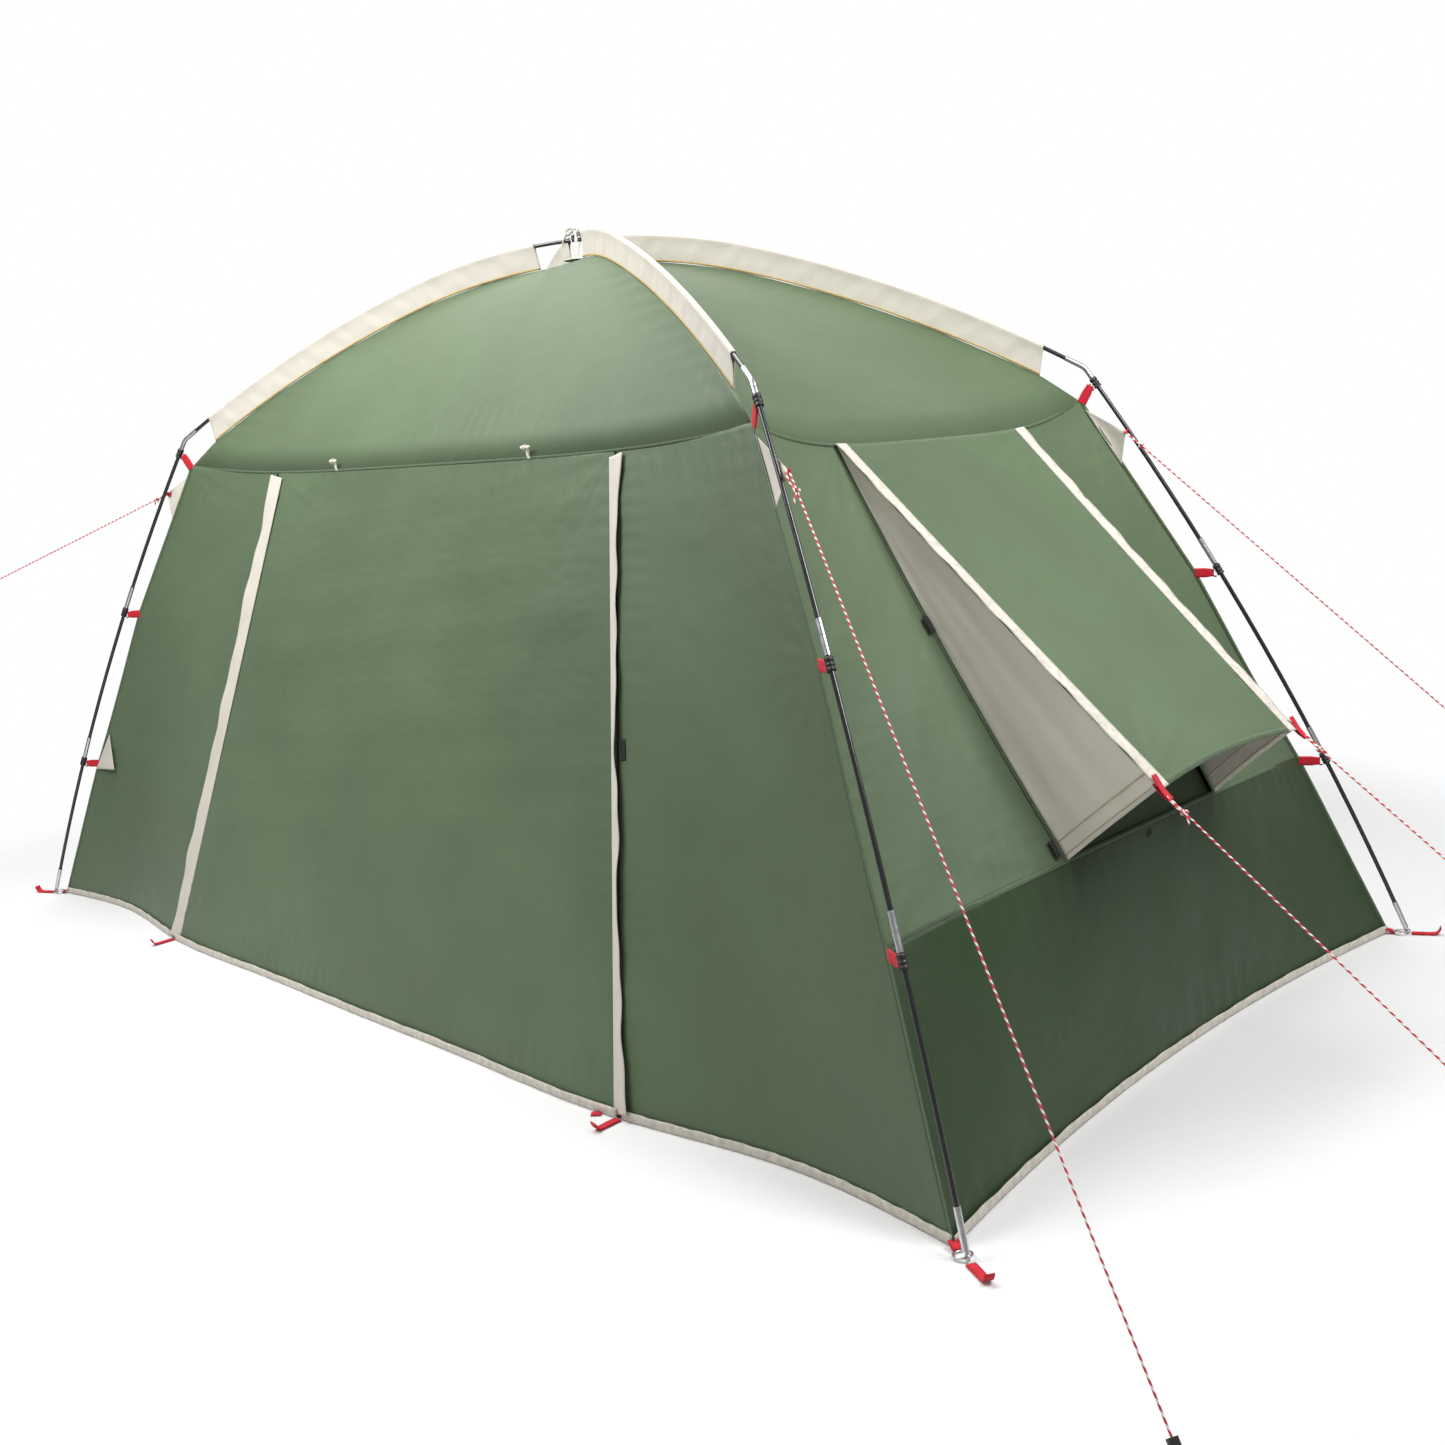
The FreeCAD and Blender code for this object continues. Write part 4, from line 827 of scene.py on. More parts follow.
def make_door():
    """The door, a sheet. Its transform is baked at the end."""
    grid = front_surface(-ZIP_FOOT_X + ZIP_GAP, ZIP_FOOT_X - ZIP_GAP, 210, 150, WALL_START)
    fans = [((side * x, y, z), 11, 0.30, 0.0024) for side in (-1, 1)
            for x, y, z in ((0.78, -0.605, 1.44), (1.07, -1.012, 0.0))]
    grid = dress(grid, fans, 0.0036, 0.22, 0.0006, 0.045, stretch=(0.6, 1.3))
    obj = cloth_sheet("door_cloth", grid, "green_cloth", (0, -1, 0.3))
    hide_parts("door_panel")
    return obj


def make_end_walls():
    band = end_surface(False, 190, 52, low=0.008)
    fans = corner_fans("front_right") + corner_fans("back_right")
    band = dress(band, fans, 0.0030, 0.30, 0.0007, 0.06)
    low, high = WINDOW_LOW_SHARE, WINDOW_HIGH_SHARE
    window = ((low, 0), (high, 1), (-low, 0), (-high, 1))
    more = [(end_points(share, rise, True), 9, 0.35, 0.0022) for share, rise in window]
    rear = dress(end_surface(True, 66, 112, (low, high), (1.0, 1.0)), fans + more, 0.0026, 0.26)
    front = dress(end_surface(True, 66, 112, (-1.0, -1.0), (-low, -high)), fans + more, 0.0026, 0.26)
    left_band = dress(end_surface(False, 150, 44, low=0.008), fans, 0.0030, 0.30) * MIRROR_X
    left = dress(end_surface(True, 150, 100), fans, 0.0032, 0.34) * MIRROR_X
    right_out, left_out = (1, 0, 0.3), (-1, 0, 0.3)
    sheets = (
        ("right_band_cloth", band, "dark_green_cloth", right_out, "right_wall_band"),
        ("right_rear_cloth", rear, "green_cloth", right_out, "right_wall_rear"),
        ("right_front_cloth", front, "green_cloth", right_out, "right_wall_front"),
        ("left_band_cloth", left_band, "dark_green_cloth", left_out, "left_wall"),
        ("left_wall_cloth", left, "green_cloth", left_out, "left_wall"),
    )
    for name, grid, material, out, node in sheets:
        obj = cloth_sheet(name, grid, material, out)
        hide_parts(node)
        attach(obj, "tent")
    net = end_surface(True, 40, 60, (-low, -high), (low, high))
    net = undulate(net - np.array([0.018, 0, 0.010]), 0.0010, 0.3)
    obj = cloth_sheet("window_net_cloth", net, "window_net", right_out, 0.0006)
    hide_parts("window_mesh")
    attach(obj, "tent")
    # painted light: the sill continues the dark band, but is given the lighter green cloth to make up for the
    # awning's shade over it
    rim = 0.13
    wide = WINDOW_LOW_SHARE + (WINDOW_HIGH_SHARE - WINDOW_LOW_SHARE) * rim * np.linspace(0, 1, 14)[None, :]
    share = np.linspace(-1, 1, 60)[:, None] * wide
    sill = end_points(share, np.linspace(0, rim, 14)[None, :], True) - np.array([0.009, 0, 0.005])
    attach(cloth_sheet("window_sill_painted_light", sill, "green_cloth", right_out, 0.0010), "tent")
    for name, mirror in (("right", 1), ("left", -1)):
        share = np.linspace(-0.99, 0.99, 150)
        line = end_seam(share) + np.array([0.0002, 0, 0])
        seam = strap(f"band_seam_{name}", line * [mirror, 1, 1], (-0.45 * mirror, 0, 0.9), 0.011,
                     "seam_green", 0.0012, 3, (mirror, 0, 0.3))
        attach(seam, "tent")


def make_corner_seams():
    """The sewn edge that stands out along each corner, with the tabs' places on it."""
    for corner in CORNERS:
        heights = np.linspace(0.012, SEAM_TOP_HEIGHT - 0.004, 170)
        line = corner_line(corner, heights)
        out = placed(corner, (1, 0, 0.35))
        grid = np.stack([line - out * 0.002, line + out * 0.004, line + out * 0.008], axis=0)
        side = placed(corner, (0, 1, 0))
        grid = grid + side * 0.0006
        seam = cloth_sheet(f"corner_seam_{corner}", grid, "seam_green", side, 0.0013)
        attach(seam, "tent")


HEM_TOP = 0.0225


def hem_strip(name, foot, out):
    """Binding along the foot of a wall, a little wavy."""
    foot = np.asarray(foot, float)
    heights = np.array([0.0008, 0.006, 0.014, 0.021, HEM_TOP])
    rise = np.array([0.0020, 0.0030, 0.0028, 0.0022, 0.0002])
    run = np.linspace(0, 1, len(foot))
    phase = RANDOM.uniform(0, TAU)
    sway = 0.0012 * np.sin(run * 61 + phase) + 0.0008 * np.sin(run * 143 + phase)
    rows = []
    for height, off in zip(heights, rise):
        row = foot.copy()
        row[:, 2] = height
        row += np.asarray(out) * (off + sway * height / HEM_TOP)[:, None]
        rows.append(row)
    return cloth_sheet(name, np.array(rows), "cream_tape", out, 0.0012)


def make_hems():
    share = np.linspace(-0.999, 0.999, 240)
    edges = np.linspace(-CORNER_FOOT_X, CORNER_FOOT_X, 1601)
    feet = spline(WALL_KNOTS, front_ribs([0.0]), edges)[:, 0]
    left = feet[edges < -ZIP_FOOT_X - 0.005][::3]
    right = feet[edges > ZIP_FOOT_X + 0.005][::3]
    door = feet[np.abs(edges) < ZIP_FOOT_X - 0.005][::4]
    strips = (
        hem_strip("hem_front_left", left, (0, -1, 0)),
        hem_strip("hem_front_right", right, (0, -1, 0)),
        hem_strip("hem_back", feet[::5] * MIRROR_Y, (0, 1, 0)),
        hem_strip("hem_right", end_foot(share), (1, 0, 0)),
        hem_strip("hem_left", end_foot(share) * MIRROR_X, (-1, 0, 0)),
    )
    for strip in strips:
        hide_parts("wall_hems")
        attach(strip, "tent")
    door_strip = hem_strip("hem_door", door, (0, -1, 0))
    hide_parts("door_hem")
    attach(door_strip, "door")


# ---------------------------------------------------------------- zips and their strips
ZIP_FOOT = np.array([1.070, -1.012, 0.0])
ZIP_HEAD = np.array([0.780, -0.600, 1.430])
ZIP_RISE = 0.0075


def zip_line(side, along):
    """Points of a zip, its outward normal and its direction away from the door."""
    foot, head = ZIP_FOOT * [side, 1, 1], ZIP_HEAD * [side, 1, 1]
    run = unit(head - foot)
    slope = unit(np.array([0, run[1], run[2]]))
    out = np.array([0, -slope[2], slope[1]])
    away = unit(np.cross(run, out)) * side
    if away[0] * side < 0:
        away = -away
    return foot + np.asarray(along, float)[..., None] * run, out, away


def make_zips():
    """Zip chains, and the cloth strips sewn to the door over them. Returns the strips, whose transforms are
    baked at the end.
    """
    tapes, strips = [], []
    for side, name in ((1, "right"), (-1, "left")):
        along = np.linspace(0.012, 1.468, 260)
        line, out, away = zip_line(side, along)
        tapes.append(
            strap(f"zip_tape_{name}", line - out * 0.0035, away, 0.024, "seam_green", 0.001, 4, out))
        teeth = 0.0022 + 0.0009 * np.sign(np.sin(along * TAU / 0.009))
        tapes.append(
            strap(f"zip_teeth_{name}", line - out * 0.0012, away, teeth * 2, "zip_dark", 0.0018, 3, out))
        strips.append(door_strip(side, name))
    tape = merged("zip_chain_tapes", tapes)
    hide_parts("zip_chains")
    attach(tape, "tent")
    return strips


def door_strip(side, name):
    """A cream strip, flat at its sewn edge, its free edge waving and curling narrower halfway."""
    along = np.linspace(0.010, 1.509, 280)
    line, out, away = zip_line(side, along)
    part = along / 1.5
    line = line + out * (ZIP_RISE * part)[:, None]
    phase = 0.8 if side > 0 else 2.9
    if side > 0:
        first = -0.018
        width = 0.027 + 0.020 * np.exp(-part / 0.16) + 0.024 * np.clip((part - 0.80) / 0.20, 0, 1) ** 1.5
    else:
        first = -0.034
        width = 0.054 - 0.014 * np.exp(-(((part - 0.45) / 0.26) ** 2)) + 0.004 * np.exp(-part / 0.08)
    width = width + 0.0026 * np.sin(part * 31 + phase) + 0.0014 * np.sin(part * 77 + 2 * phase)
    lift = 0.010 + 0.008 * np.exp(-(((part - 0.45) / 0.26) ** 2))
    lift = lift + 0.0035 * np.sin(part * 23 + phase) + 0.0020 * np.sin(part * 58 + phase)
    sway = 0.0022 * np.sin(part * 17 + phase)
    rows = []
    for step in np.linspace(0, 1, 9):
        across = first + sway * step + width * step
        height = 0.0030 + lift * step**1.6 * (1 - 0.35 * step**3)
        rows.append(line + away * np.broadcast_to(across, along.shape)[:, None] + out * height[:, None])
    obj = cloth_sheet(f"zip_strip_{name}", np.array(rows), "cream_cloth", out, 0.0010)
    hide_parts(f"zip_flap_{name}")
    return obj


def make_toggles():
    loops = []
    for side, name in ((1, "right"), (-1, "left")):
        box = [np.array(corner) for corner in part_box(f"toggle_{name}")]
        middle = (box[0] + box[1]) / 2
        length = box[1][0] - box[0][0]
        start = middle - [length / 2, 0, 0]
        half = [(0.0004, 0), (0.0030, 0.0008), (0.0042, 0.005), (0.0038, 0.012)]
        shape = half + [(0.0026, length / 2)] + [(radius, length - along) for radius, along in half[::-1]]
        peg = lathe(f"toggle_peg_{name}", shape, start, (1, 0, 0), "toggle_cream", 20)
        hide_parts(f"toggle_{name}")
        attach(peg, f"toggle_{name}_body")
        seat = middle + np.array([0, 0.006, -0.007])
        turn = np.linspace(0, TAU, 26, endpoint=False)
        ring = middle + np.stack([0 * turn, np.sin(turn) * 0.0075, np.cos(turn) * 0.0068 - 0.001], axis=1)
        eye = tube_mesh(f"toggle_eye_{name}", ring, 0.0013, "white_webbing", 8, True)
        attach(eye, f"toggle_{name}_body")
        foot = np.array([seat, seat + [0, 0.004, -0.022]])
        path = smooth_path([foot[0], foot.mean(axis=0) + [0, -0.002, 0.001], foot[1]], 10)
        loops.append(strap(f"toggle_tab_{name}", path, (1, 0, 0), 0.012, "white_webbing",
                           0.0012, 3, (0, -1, 0.4)))
    obj = merged("toggle_cords", loops)
    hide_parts("toggle_loops")
    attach(obj, "tent")


# ---------------------------------------------------------------- sleeves and the crossing
SLEEVE_TOP, SLEEVE_DEPTH, SLEEVE_FOOT = 0.0078, 0.069, 0.0013


def sleeve_profile():
    """The sleeve's section, (aside, up): one side up from its foot, over the pole and down again."""
    rising = [(SLEEVE_FOOT + (SLEEVE_TOP - SLEEVE_FOOT) * step**4, -SLEEVE_DEPTH * (1 - step))
              for step in np.linspace(0, 1, 14)]
    over = [(SLEEVE_TOP * math.cos(turn), SLEEVE_TOP * math.sin(turn))
            for turn in np.linspace(0, math.pi, 11)[1:-1]]
    return rising + over + [(-aside, up) for aside, up in rising[::-1]]


def make_sleeves():
    depth = SLEEVE_DEPTH
    count = 190
    profile = sleeve_profile()
    for corner in CORNERS:
        arch = CORNER_ARCH[corner]
        start, end = (0.132 if corner == "front_left" else 0.086), arch.run - 0.080
        grid = np.zeros((len(profile), count, 3))
        phase = RANDOM.uniform(0, TAU, 4)
        share = np.linspace(0, 1, count)
        for i, (aside, up) in enumerate(profile):
            low = min(1.0, max(0.0, -up / depth))
            hand = 1 if aside > 0 else -1
            runs = start - 0.010 * low + (end - start + 0.036 * low) * share
            slack = np.sin(math.pi * low) ** 0.8
            wave = np.sin(runs * 34 + phase[0] + hand) + 0.8 * np.sin(runs * 61 + phase[1] + low * 2.2)
            wave = wave + 0.6 * np.sin(runs * 113 + phase[2] + low * 3.1)
            ends = np.clip(np.minimum(share, 1 - share) / 0.03, 0.12, 1)
            bulge = hand * (0.0016 + 0.0009 * wave) * slack * ends
            roll = 0.0012 * np.sin(runs * 21 + phase[3])
            for j, run in enumerate(runs):
                point, normal = arch.at(run)
                local = point + normal * (up + roll[j] * low)
                local[1] += aside + (bulge[j] if 0.02 < low else 0.0)
                grid[i, j] = local
        grid = placed(corner, grid)
        sleeve = cloth_sheet(f"sleeve_cloth_{corner}", grid, "cream_cloth", (0, 0, 1), 0.0008)
        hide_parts(f"sleeve_{corner}")
        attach(sleeve, "tent")
        for hand in (-1, 1):
            runs = np.linspace(start - 0.008, end + 0.024, 180)
            line = []
            for run in runs:
                point, normal = arch.at(run)
                spot = point - normal * (depth - 0.004)
                spot[1] += hand * 0.0030
                line.append(spot)
            binding = strap(
                f"sleeve_stitching_{corner}_{'a' if hand > 0 else 'b'}", placed(corner, line),
                placed(corner, (0, 0, 1)), 0.0050, "ochre_binding", 0.0009, 3, placed(corner, (0, hand, 0)))
            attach(binding, "tent")


def make_crossing():
    """The webbing tied round both poles where they cross, and the round patch under it."""
    crossing = np.array([0, 0, (ARCH_LOW.height + ARCH_HIGH.height) / 2])
    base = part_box("apex_patch")[0][2]
    turn = np.linspace(0, TAU, 49)
    rings = []
    for radius, height in ((0.0005, 0.004), (0.018, 0.0036), (0.034, 0.0030), (0.039, 0.0016), (0.0395, 0.0)):
        ring = [np.cos(turn) * radius, np.sin(turn) * radius, 0 * turn + base + height]
        rings.append(np.stack(ring, axis=1))
    patch = cloth_sheet("apex_round_patch", np.array(rings), "cream_cloth", (0, 0, 1), 0.0015)
    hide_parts("apex_patch")
    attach(patch, "tent")
    azimuth = TURN * 2.2
    out = np.array([math.cos(azimuth), math.sin(azimuth), 0])
    side = np.array([-out[1], out[0], 0])
    around = np.linspace(-0.3, math.pi + 0.3, 30)
    path = crossing + np.cos(around)[:, None] * out * 0.0155 + np.sin(around)[:, None] * [0, 0, 0.0165]
    legs = np.array([crossing - out * 0.011 - [0, 0, 0.022], crossing - out * 0.006 - [0, 0, 0.052]])
    more = np.array([crossing + out * 0.006 - [0, 0, 0.052], crossing + out * 0.011 - [0, 0, 0.022]])
    path = smooth_path(np.concatenate([more, path, legs]), 60)
    straps = [strap("tie", path, side, 0.015, "white_webbing", 0.0012)]
    for hand in (-1, 1):
        aside = np.array([0.75 * hand, -0.35, 0])
        bow = [crossing + [0, 0, 0.018], crossing + aside * 0.018 + [0, 0, 0.026],
               crossing + aside * 0.036 + [0, 0, 0.019], crossing + aside * 0.028 + [0, -0.004, 0.010],
               crossing + aside * 0.010 + [0, -0.004, 0.018]]
        straps.append(strap(f"bow_{hand}", smooth_path(bow, 26), (0.35, 0.75 * hand, 0.45), 0.010,
                            "white_webbing", 0.0010, 4))
        tail = [crossing + [0, 0, 0.018], crossing + aside * 0.026 + [0, -0.004, 0.012],
                crossing + aside * 0.040 + [0, -0.012, -0.018]]
        straps.append(strap(f"tail_{hand}", smooth_path(tail, 16), (0.35, 0.75 * hand, 0.3), 0.010,
                            "white_webbing", 0.0010, 4))
    tie = merged("apex_webbing", straps)
    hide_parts("apex_tie")
    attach(tie, "tent")


# ---------------------------------------------------------------- awning over the window
WINDOW_LOW, WINDOW_HIGH = np.array([1.7899, 0.330, 0.5245]), np.array([1.250, 0.365, 1.410])
AWNING_FALL = np.array([0.52058, 0, -0.85382])
AWNING_OUT = np.array([0.85382, 0, 0.52058])
AWNING_LOW = np.array([1.9986, 0, 0.7030])
AWNING_TOP_HALF, AWNING_LOW_HALF = 0.372, 0.316


def awning_point(q, v, off=0.0):
    """A point of the awning. q runs across it from -1 to 1, and v down it from 0 to 1."""
    q, v = np.broadcast_arrays(np.asarray(q, float), np.asarray(v, float))
    y_top = AWNING_TOP_HALF * q
    top = roof_edge("right", y_top / (SEAM_TOP * math.sin(TURN))) + np.array([0.004, 0, 0.001])
    low = AWNING_LOW + np.stack([0 * q, AWNING_LOW_HALF * q, 0 * q], axis=-1)
    low = low - AWNING_FALL * (0.020 * (1 - q**2))[..., None]
    belly = -0.005 * (1 - q**2) * np.sin(math.pi * v) - 0.002 * np.sin(math.pi * v)
    return top + (low - top) * v[..., None] + AWNING_OUT * (belly + off)[..., None]


def make_awning():
    """Canopy sheet, its cream side tapes, gussets and hem. Returns the pieces besides the hem, whose
    transforms are baked at the end.
    """
    last = []
    q = np.linspace(-1, 1, 84)[:, None]
    v = np.linspace(0, 1, 112)[None, :]
    grid = awning_point(q, v)
    corners = [awning_point(np.array(a), np.array(b)) for a, b in ((-1, 0), (1, 0), (-1, 1), (1, 1))]
    grid = dress(grid, [(corner, 9, 0.4, 0.0024) for corner in corners], 0.0020, 0.24, 0.0006, 0.05)
    canopy = cloth_sheet("awning_cloth", grid, "green_cloth", AWNING_OUT)
    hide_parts("awning")
    last.append(canopy)
    for side, name in ((-1, "front"), (1, "rear")):
        along = np.linspace(0.0, 1.004, 150)
        wave = 0.0012 * np.sin(along * 37 + side) + 0.0010 * np.sin(along * 71)
        rows = []
        for step in np.linspace(0, 1, 6):
            off = 0.0016 + 0.0012 * math.sin(math.pi * step) + wave * step
            half = AWNING_TOP_HALF + (AWNING_LOW_HALF - AWNING_TOP_HALF) * along
            share = side * (half - 0.038 * (1 - step) + 0.002) / half
            rows.append(awning_point(share, along, off))
        tape = cloth_sheet(f"awning_tape_{name}", np.array(rows), "cream_tape", AWNING_OUT, 0.0011)
        last.append(tape)
        last.extend(make_gusset(side, name))
    edge = awning_point(np.linspace(-0.88, 0.88, 90), np.full(90, 0.998), 0.001)
    hem = strap("awning_hem", edge, AWNING_FALL, 0.014, "seam_green", 0.0012, 3, AWNING_OUT)
    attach(hem, "awning")
    return last


def window_edge(side, rise):
    """Points of the window's side, from its low corner at 0 to the roof at 1."""
    share = side * (WINDOW_LOW_SHARE + (WINDOW_HIGH_SHARE - WINDOW_LOW_SHARE) * rise)
    return end_points(share, rise, True)


def make_gusset(side, name):
    along = np.linspace(0.004, 1, 100)
    b = np.linspace(0, 1, 46)[:, None, None]
    wall = window_edge(side, 1 - along) + np.array([0.003, 0, 0.002])
    canopy = awning_point(np.full(along.shape, side * 0.985), along, -0.0025)
    grid = wall[None] + (canopy - wall)[None] * b
    a = along[None, :, None]
    rise = unit(wall[0] - (wall[-1] + canopy[-1]) / 2) * 0.002
    grid = grid + rise * (4 * b * (1 - b) * a**3)
    fold = np.sin(b * 11 + 0.7) * 0.0016 + np.sin(b * 23 + side) * 0.0008
    grid = grid + np.array([0, -side, 0]) * (4 * b * (1 - b) * a * (0.006 + fold))
    grid = undulate(grid, 0.0014, 0.2)
    # painted light: the gusset's brightened beige stands in for light shining through the cloth
    gusset = cloth_sheet(f"gusset_cloth_{name}", grid, "beige_cloth", (0, side, 0))
    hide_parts(f"gusset_{name}")
    bindings = []
    for share in (0.990, 0.968):
        row = grid[:, int(share * 99)]
        out = np.array([0, side, 0])
        for hand in (-1, 1):
            bindings.append(strap("line", row + out * hand * 0.0016, (0.4, 0, 0.6), 0.0045, "ochre_binding",
                                  0.0008, 3, out * hand))
    binding = merged(f"gusset_binding_{name}", bindings)
    return [gusset, binding]


def make_window_trim():
    """Bindings along the window's two sides."""
    trims = []
    for side in (-1, 1):
        line = window_edge(side, np.linspace(0, 1, 110)) + np.array([0.0016, 0, 0.001])
        trims.append(strap("trim", line, (0.05, 1, 0), 0.014, "seam_green", 0.0012, 3, (1, 0, 0.5)))
    obj = merged("window_trim", trims)
    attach(obj, "tent")


# ---------------------------------------------------------------- clips, tabs and loops
COLLAR = (
    (0.0069, 0.0), (0.0092, 0.0004), (0.0098, 0.0022), (0.0098, 0.0058), (0.0082, 0.0072),
    (0.0082, 0.0094), (0.0098, 0.0108), (0.0098, 0.0150), (0.0082, 0.0164), (0.0082, 0.0186),
    (0.0098, 0.0200), (0.0098, 0.0262), (0.0088, 0.0294), (0.0069, 0.0299),
)


def make_clips():
    """Ribbed black collars on the legs, and the red tabs that join them to the corner seams."""
    collars, tabs = [], []
    for corner in CORNERS:
        for index, run in enumerate(CLIP_RUNS):
            point, heading = leg_at(run)
            base = placed(corner, point - heading * 0.015)
            axis = placed(corner, heading)
            collars.append(lathe(f"collar_{corner}_{index}", COLLAR, base, axis, "clip_black", 26))
            inward = np.array([-heading[2], 0, heading[0]])
            spot = point + inward * 0.0125 - heading * 0.004
            lug = [spot - heading * 0.010, spot + inward * 0.005 - heading * 0.008,
                   spot + inward * 0.0065, spot + inward * 0.005 + heading * 0.006, spot + heading * 0.008]
            collars.append(tube_mesh(f"lug_{corner}_{index}", placed(corner, smooth_path(lug, 18)), 0.0021,
                                     "clip_black", 10))
            near = point + inward * 0.0170 - heading * 0.001
            height = TAB_HEIGHTS[index]
            seam = np.array([float(corner_reach(height)) + 0.003, 0, height])
            aside = np.array([0, 1.0, 0])
            back = unit(near - seam)
            loop = [seam + aside * 0.0012, (near + seam) / 2 + aside * 0.0016,
                    near - back * 0.002 + aside * 0.0030, near + back * 0.0032 + aside * 0.0020,
                    near + back * 0.0032 - aside * 0.0020, near - back * 0.002 - aside * 0.0030,
                    (near + seam) / 2 - aside * 0.0016, seam - aside * 0.0012]
            path = placed(corner, smooth_path(loop, 44))
            across = unit(np.array([-back[2], 0, back[0]]))
            grip = np.clip(np.linalg.norm(path - placed(corner, near), axis=1) / 0.018, 0, 1)
            tabs.append(strap(f"tab_{corner}_{index}", path, placed(corner, across), 0.0185 + 0.0065 * grip,
                              "red_webbing", 0.0012, 6))
        tabs.append(ring_tab(corner))
    collar = merged("clip_collars", collars)
    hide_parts("pole_clips")
    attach(collar, "tent")
    tab = merged("red_seam_tabs", tabs)
    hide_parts("seam_tabs")
    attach(tab, "tent")


def ring_tab(corner):
    """Short strap from the wall's foot round the loose ring."""
    line = [(2.188, 0, 0.011), (2.196, 0, 0.0075), (2.2035, 0, 0.0045), (2.2085, 0, 0.0062),
            (2.2040, 0, 0.0098), (2.196, 0, 0.0120), (2.186, 0, 0.0150)]
    path = placed(corner, smooth_path(line, 26))
    return strap(f"ring_tab_{corner}", path, placed(corner, (0, 1, 0)), 0.021, "red_webbing", 0.0013, 5)


def peg_strap(name, base, out):
    """A doubled red loop that lies outward on the ground with its end turned up."""
    out = np.asarray(out, float)
    side = np.array([-out[1], out[0], 0])
    lower = [(0.000, 0.0010), (0.020, 0.0009), (0.042, 0.0012), (0.058, 0.0022), (0.066, 0.0060),
             (0.0705, 0.0130), (0.0730, 0.0205)]
    upper = [(0.0725, 0.0232), (0.0700, 0.0205), (0.0672, 0.0130), (0.0630, 0.0075), (0.056, 0.0050),
             (0.040, 0.0042), (0.020, 0.0046), (0.002, 0.0040)]
    line = np.array([base + out * x + np.array([0, 0, z]) for x, z in lower + upper])
    path = smooth_path(line, 70)
    turn = 0.10 * np.sin(np.linspace(0, math.pi, 70))
    widths = side[None] + turn[:, None] * out[None]
    return strap(name, path, widths, 0.0195, "red_webbing", 0.0012)


def make_ground_loops():
    loops = []
    for corner in CORNERS:
        out = placed(corner, (1, 0, 0))
        loops.append(peg_strap(f"loop_{corner}", placed(corner, (2.252, 0, 0)), out))
    for side in (-1, 1):
        for x in (-ZIP_FOOT_X, ZIP_FOOT_X):
            base = np.array([x, side * 1.0165, 0])
            loops.append(peg_strap(f"loop_{side}_{x:.0f}", base, (0.0, side, 0)))
    middle = np.array([ZIP_FOOT[0] - 0.062, ZIP_FOOT[1] - 0.016, 0.0022])
    across = unit(np.array([1, 0.9, 0]))
    path = smooth_path([middle - across * 0.012, middle + [0, 0, 0.001], middle + across * 0.012], 9)
    loops.append(strap("square", path, (-across[1], across[0], 0), 0.02, "red_webbing", 0.0014, 5, (0, 0, 1)))
    obj = merged("red_ground_loops", loops)
    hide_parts("peg_loops")
    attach(obj, "tent")


def make_hook_tabs():
    tabs = []
    point, out, away = zip_line(1, np.array([0.815]))
    middle = point[0] + away * 0.020 + out * 0.0040
    run = unit(ZIP_HEAD - ZIP_FOOT)
    spots = [(middle, run, away, out, 0.050, 0.016)]
    side = unit(WINDOW_HIGH * [1, -1, 1] - WINDOW_LOW * [1, -1, 1])
    face = unit(np.array([0.853, 0, 0.52]))
    for height, y in ((1.020, -0.376), (0.552, -0.356)):
        share = (height - WINDOW_LOW[2]) / (WINDOW_HIGH[2] - WINDOW_LOW[2])
        x = WINDOW_LOW[0] + (WINDOW_HIGH[0] - WINDOW_LOW[0]) * share
        middle = np.array([x, y, height]) + face * 0.006
        spots.append((middle, side, np.cross(side, face), face, 0.040, 0.018))
    spots.append((np.array([1.800, 0.0, 0.512]), np.array([0, 1.0, 0]), np.array([-0.25, 0, 0.95]),
                  np.array([1.0, 0, 0.25]), 0.026, 0.026))
    for index, (middle, run, across, out, length, width) in enumerate(spots):
        ends = [middle - run * length / 2, middle + out * 0.0012, middle + run * length / 2]
        path = smooth_path(ends, 14)
        tabs.append(strap(f"hook_{index}", path, across, width, "hook_black", 0.0016, 5, out))
    obj = merged("hook_and_loop_tabs", tabs)
    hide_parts("hook_tabs")
    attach(obj, "tent")


GUY_TIPS = {
    "front_right": (1.575, 1.376, 1),
    "back_right": (1.532, 1.386, -1),
    "back_left": (1.532, 1.386, 1),
    "front_left": (1.535, 1.393, -1),
}
TIP_ASIDE = 0.013
GUY_CLOTH_SPAN = (1.300, 1.452)


def guy_tip(corner):
    reach, height, aside = GUY_TIPS[corner]
    return placed(corner, (reach, aside * TIP_ASIDE, height))


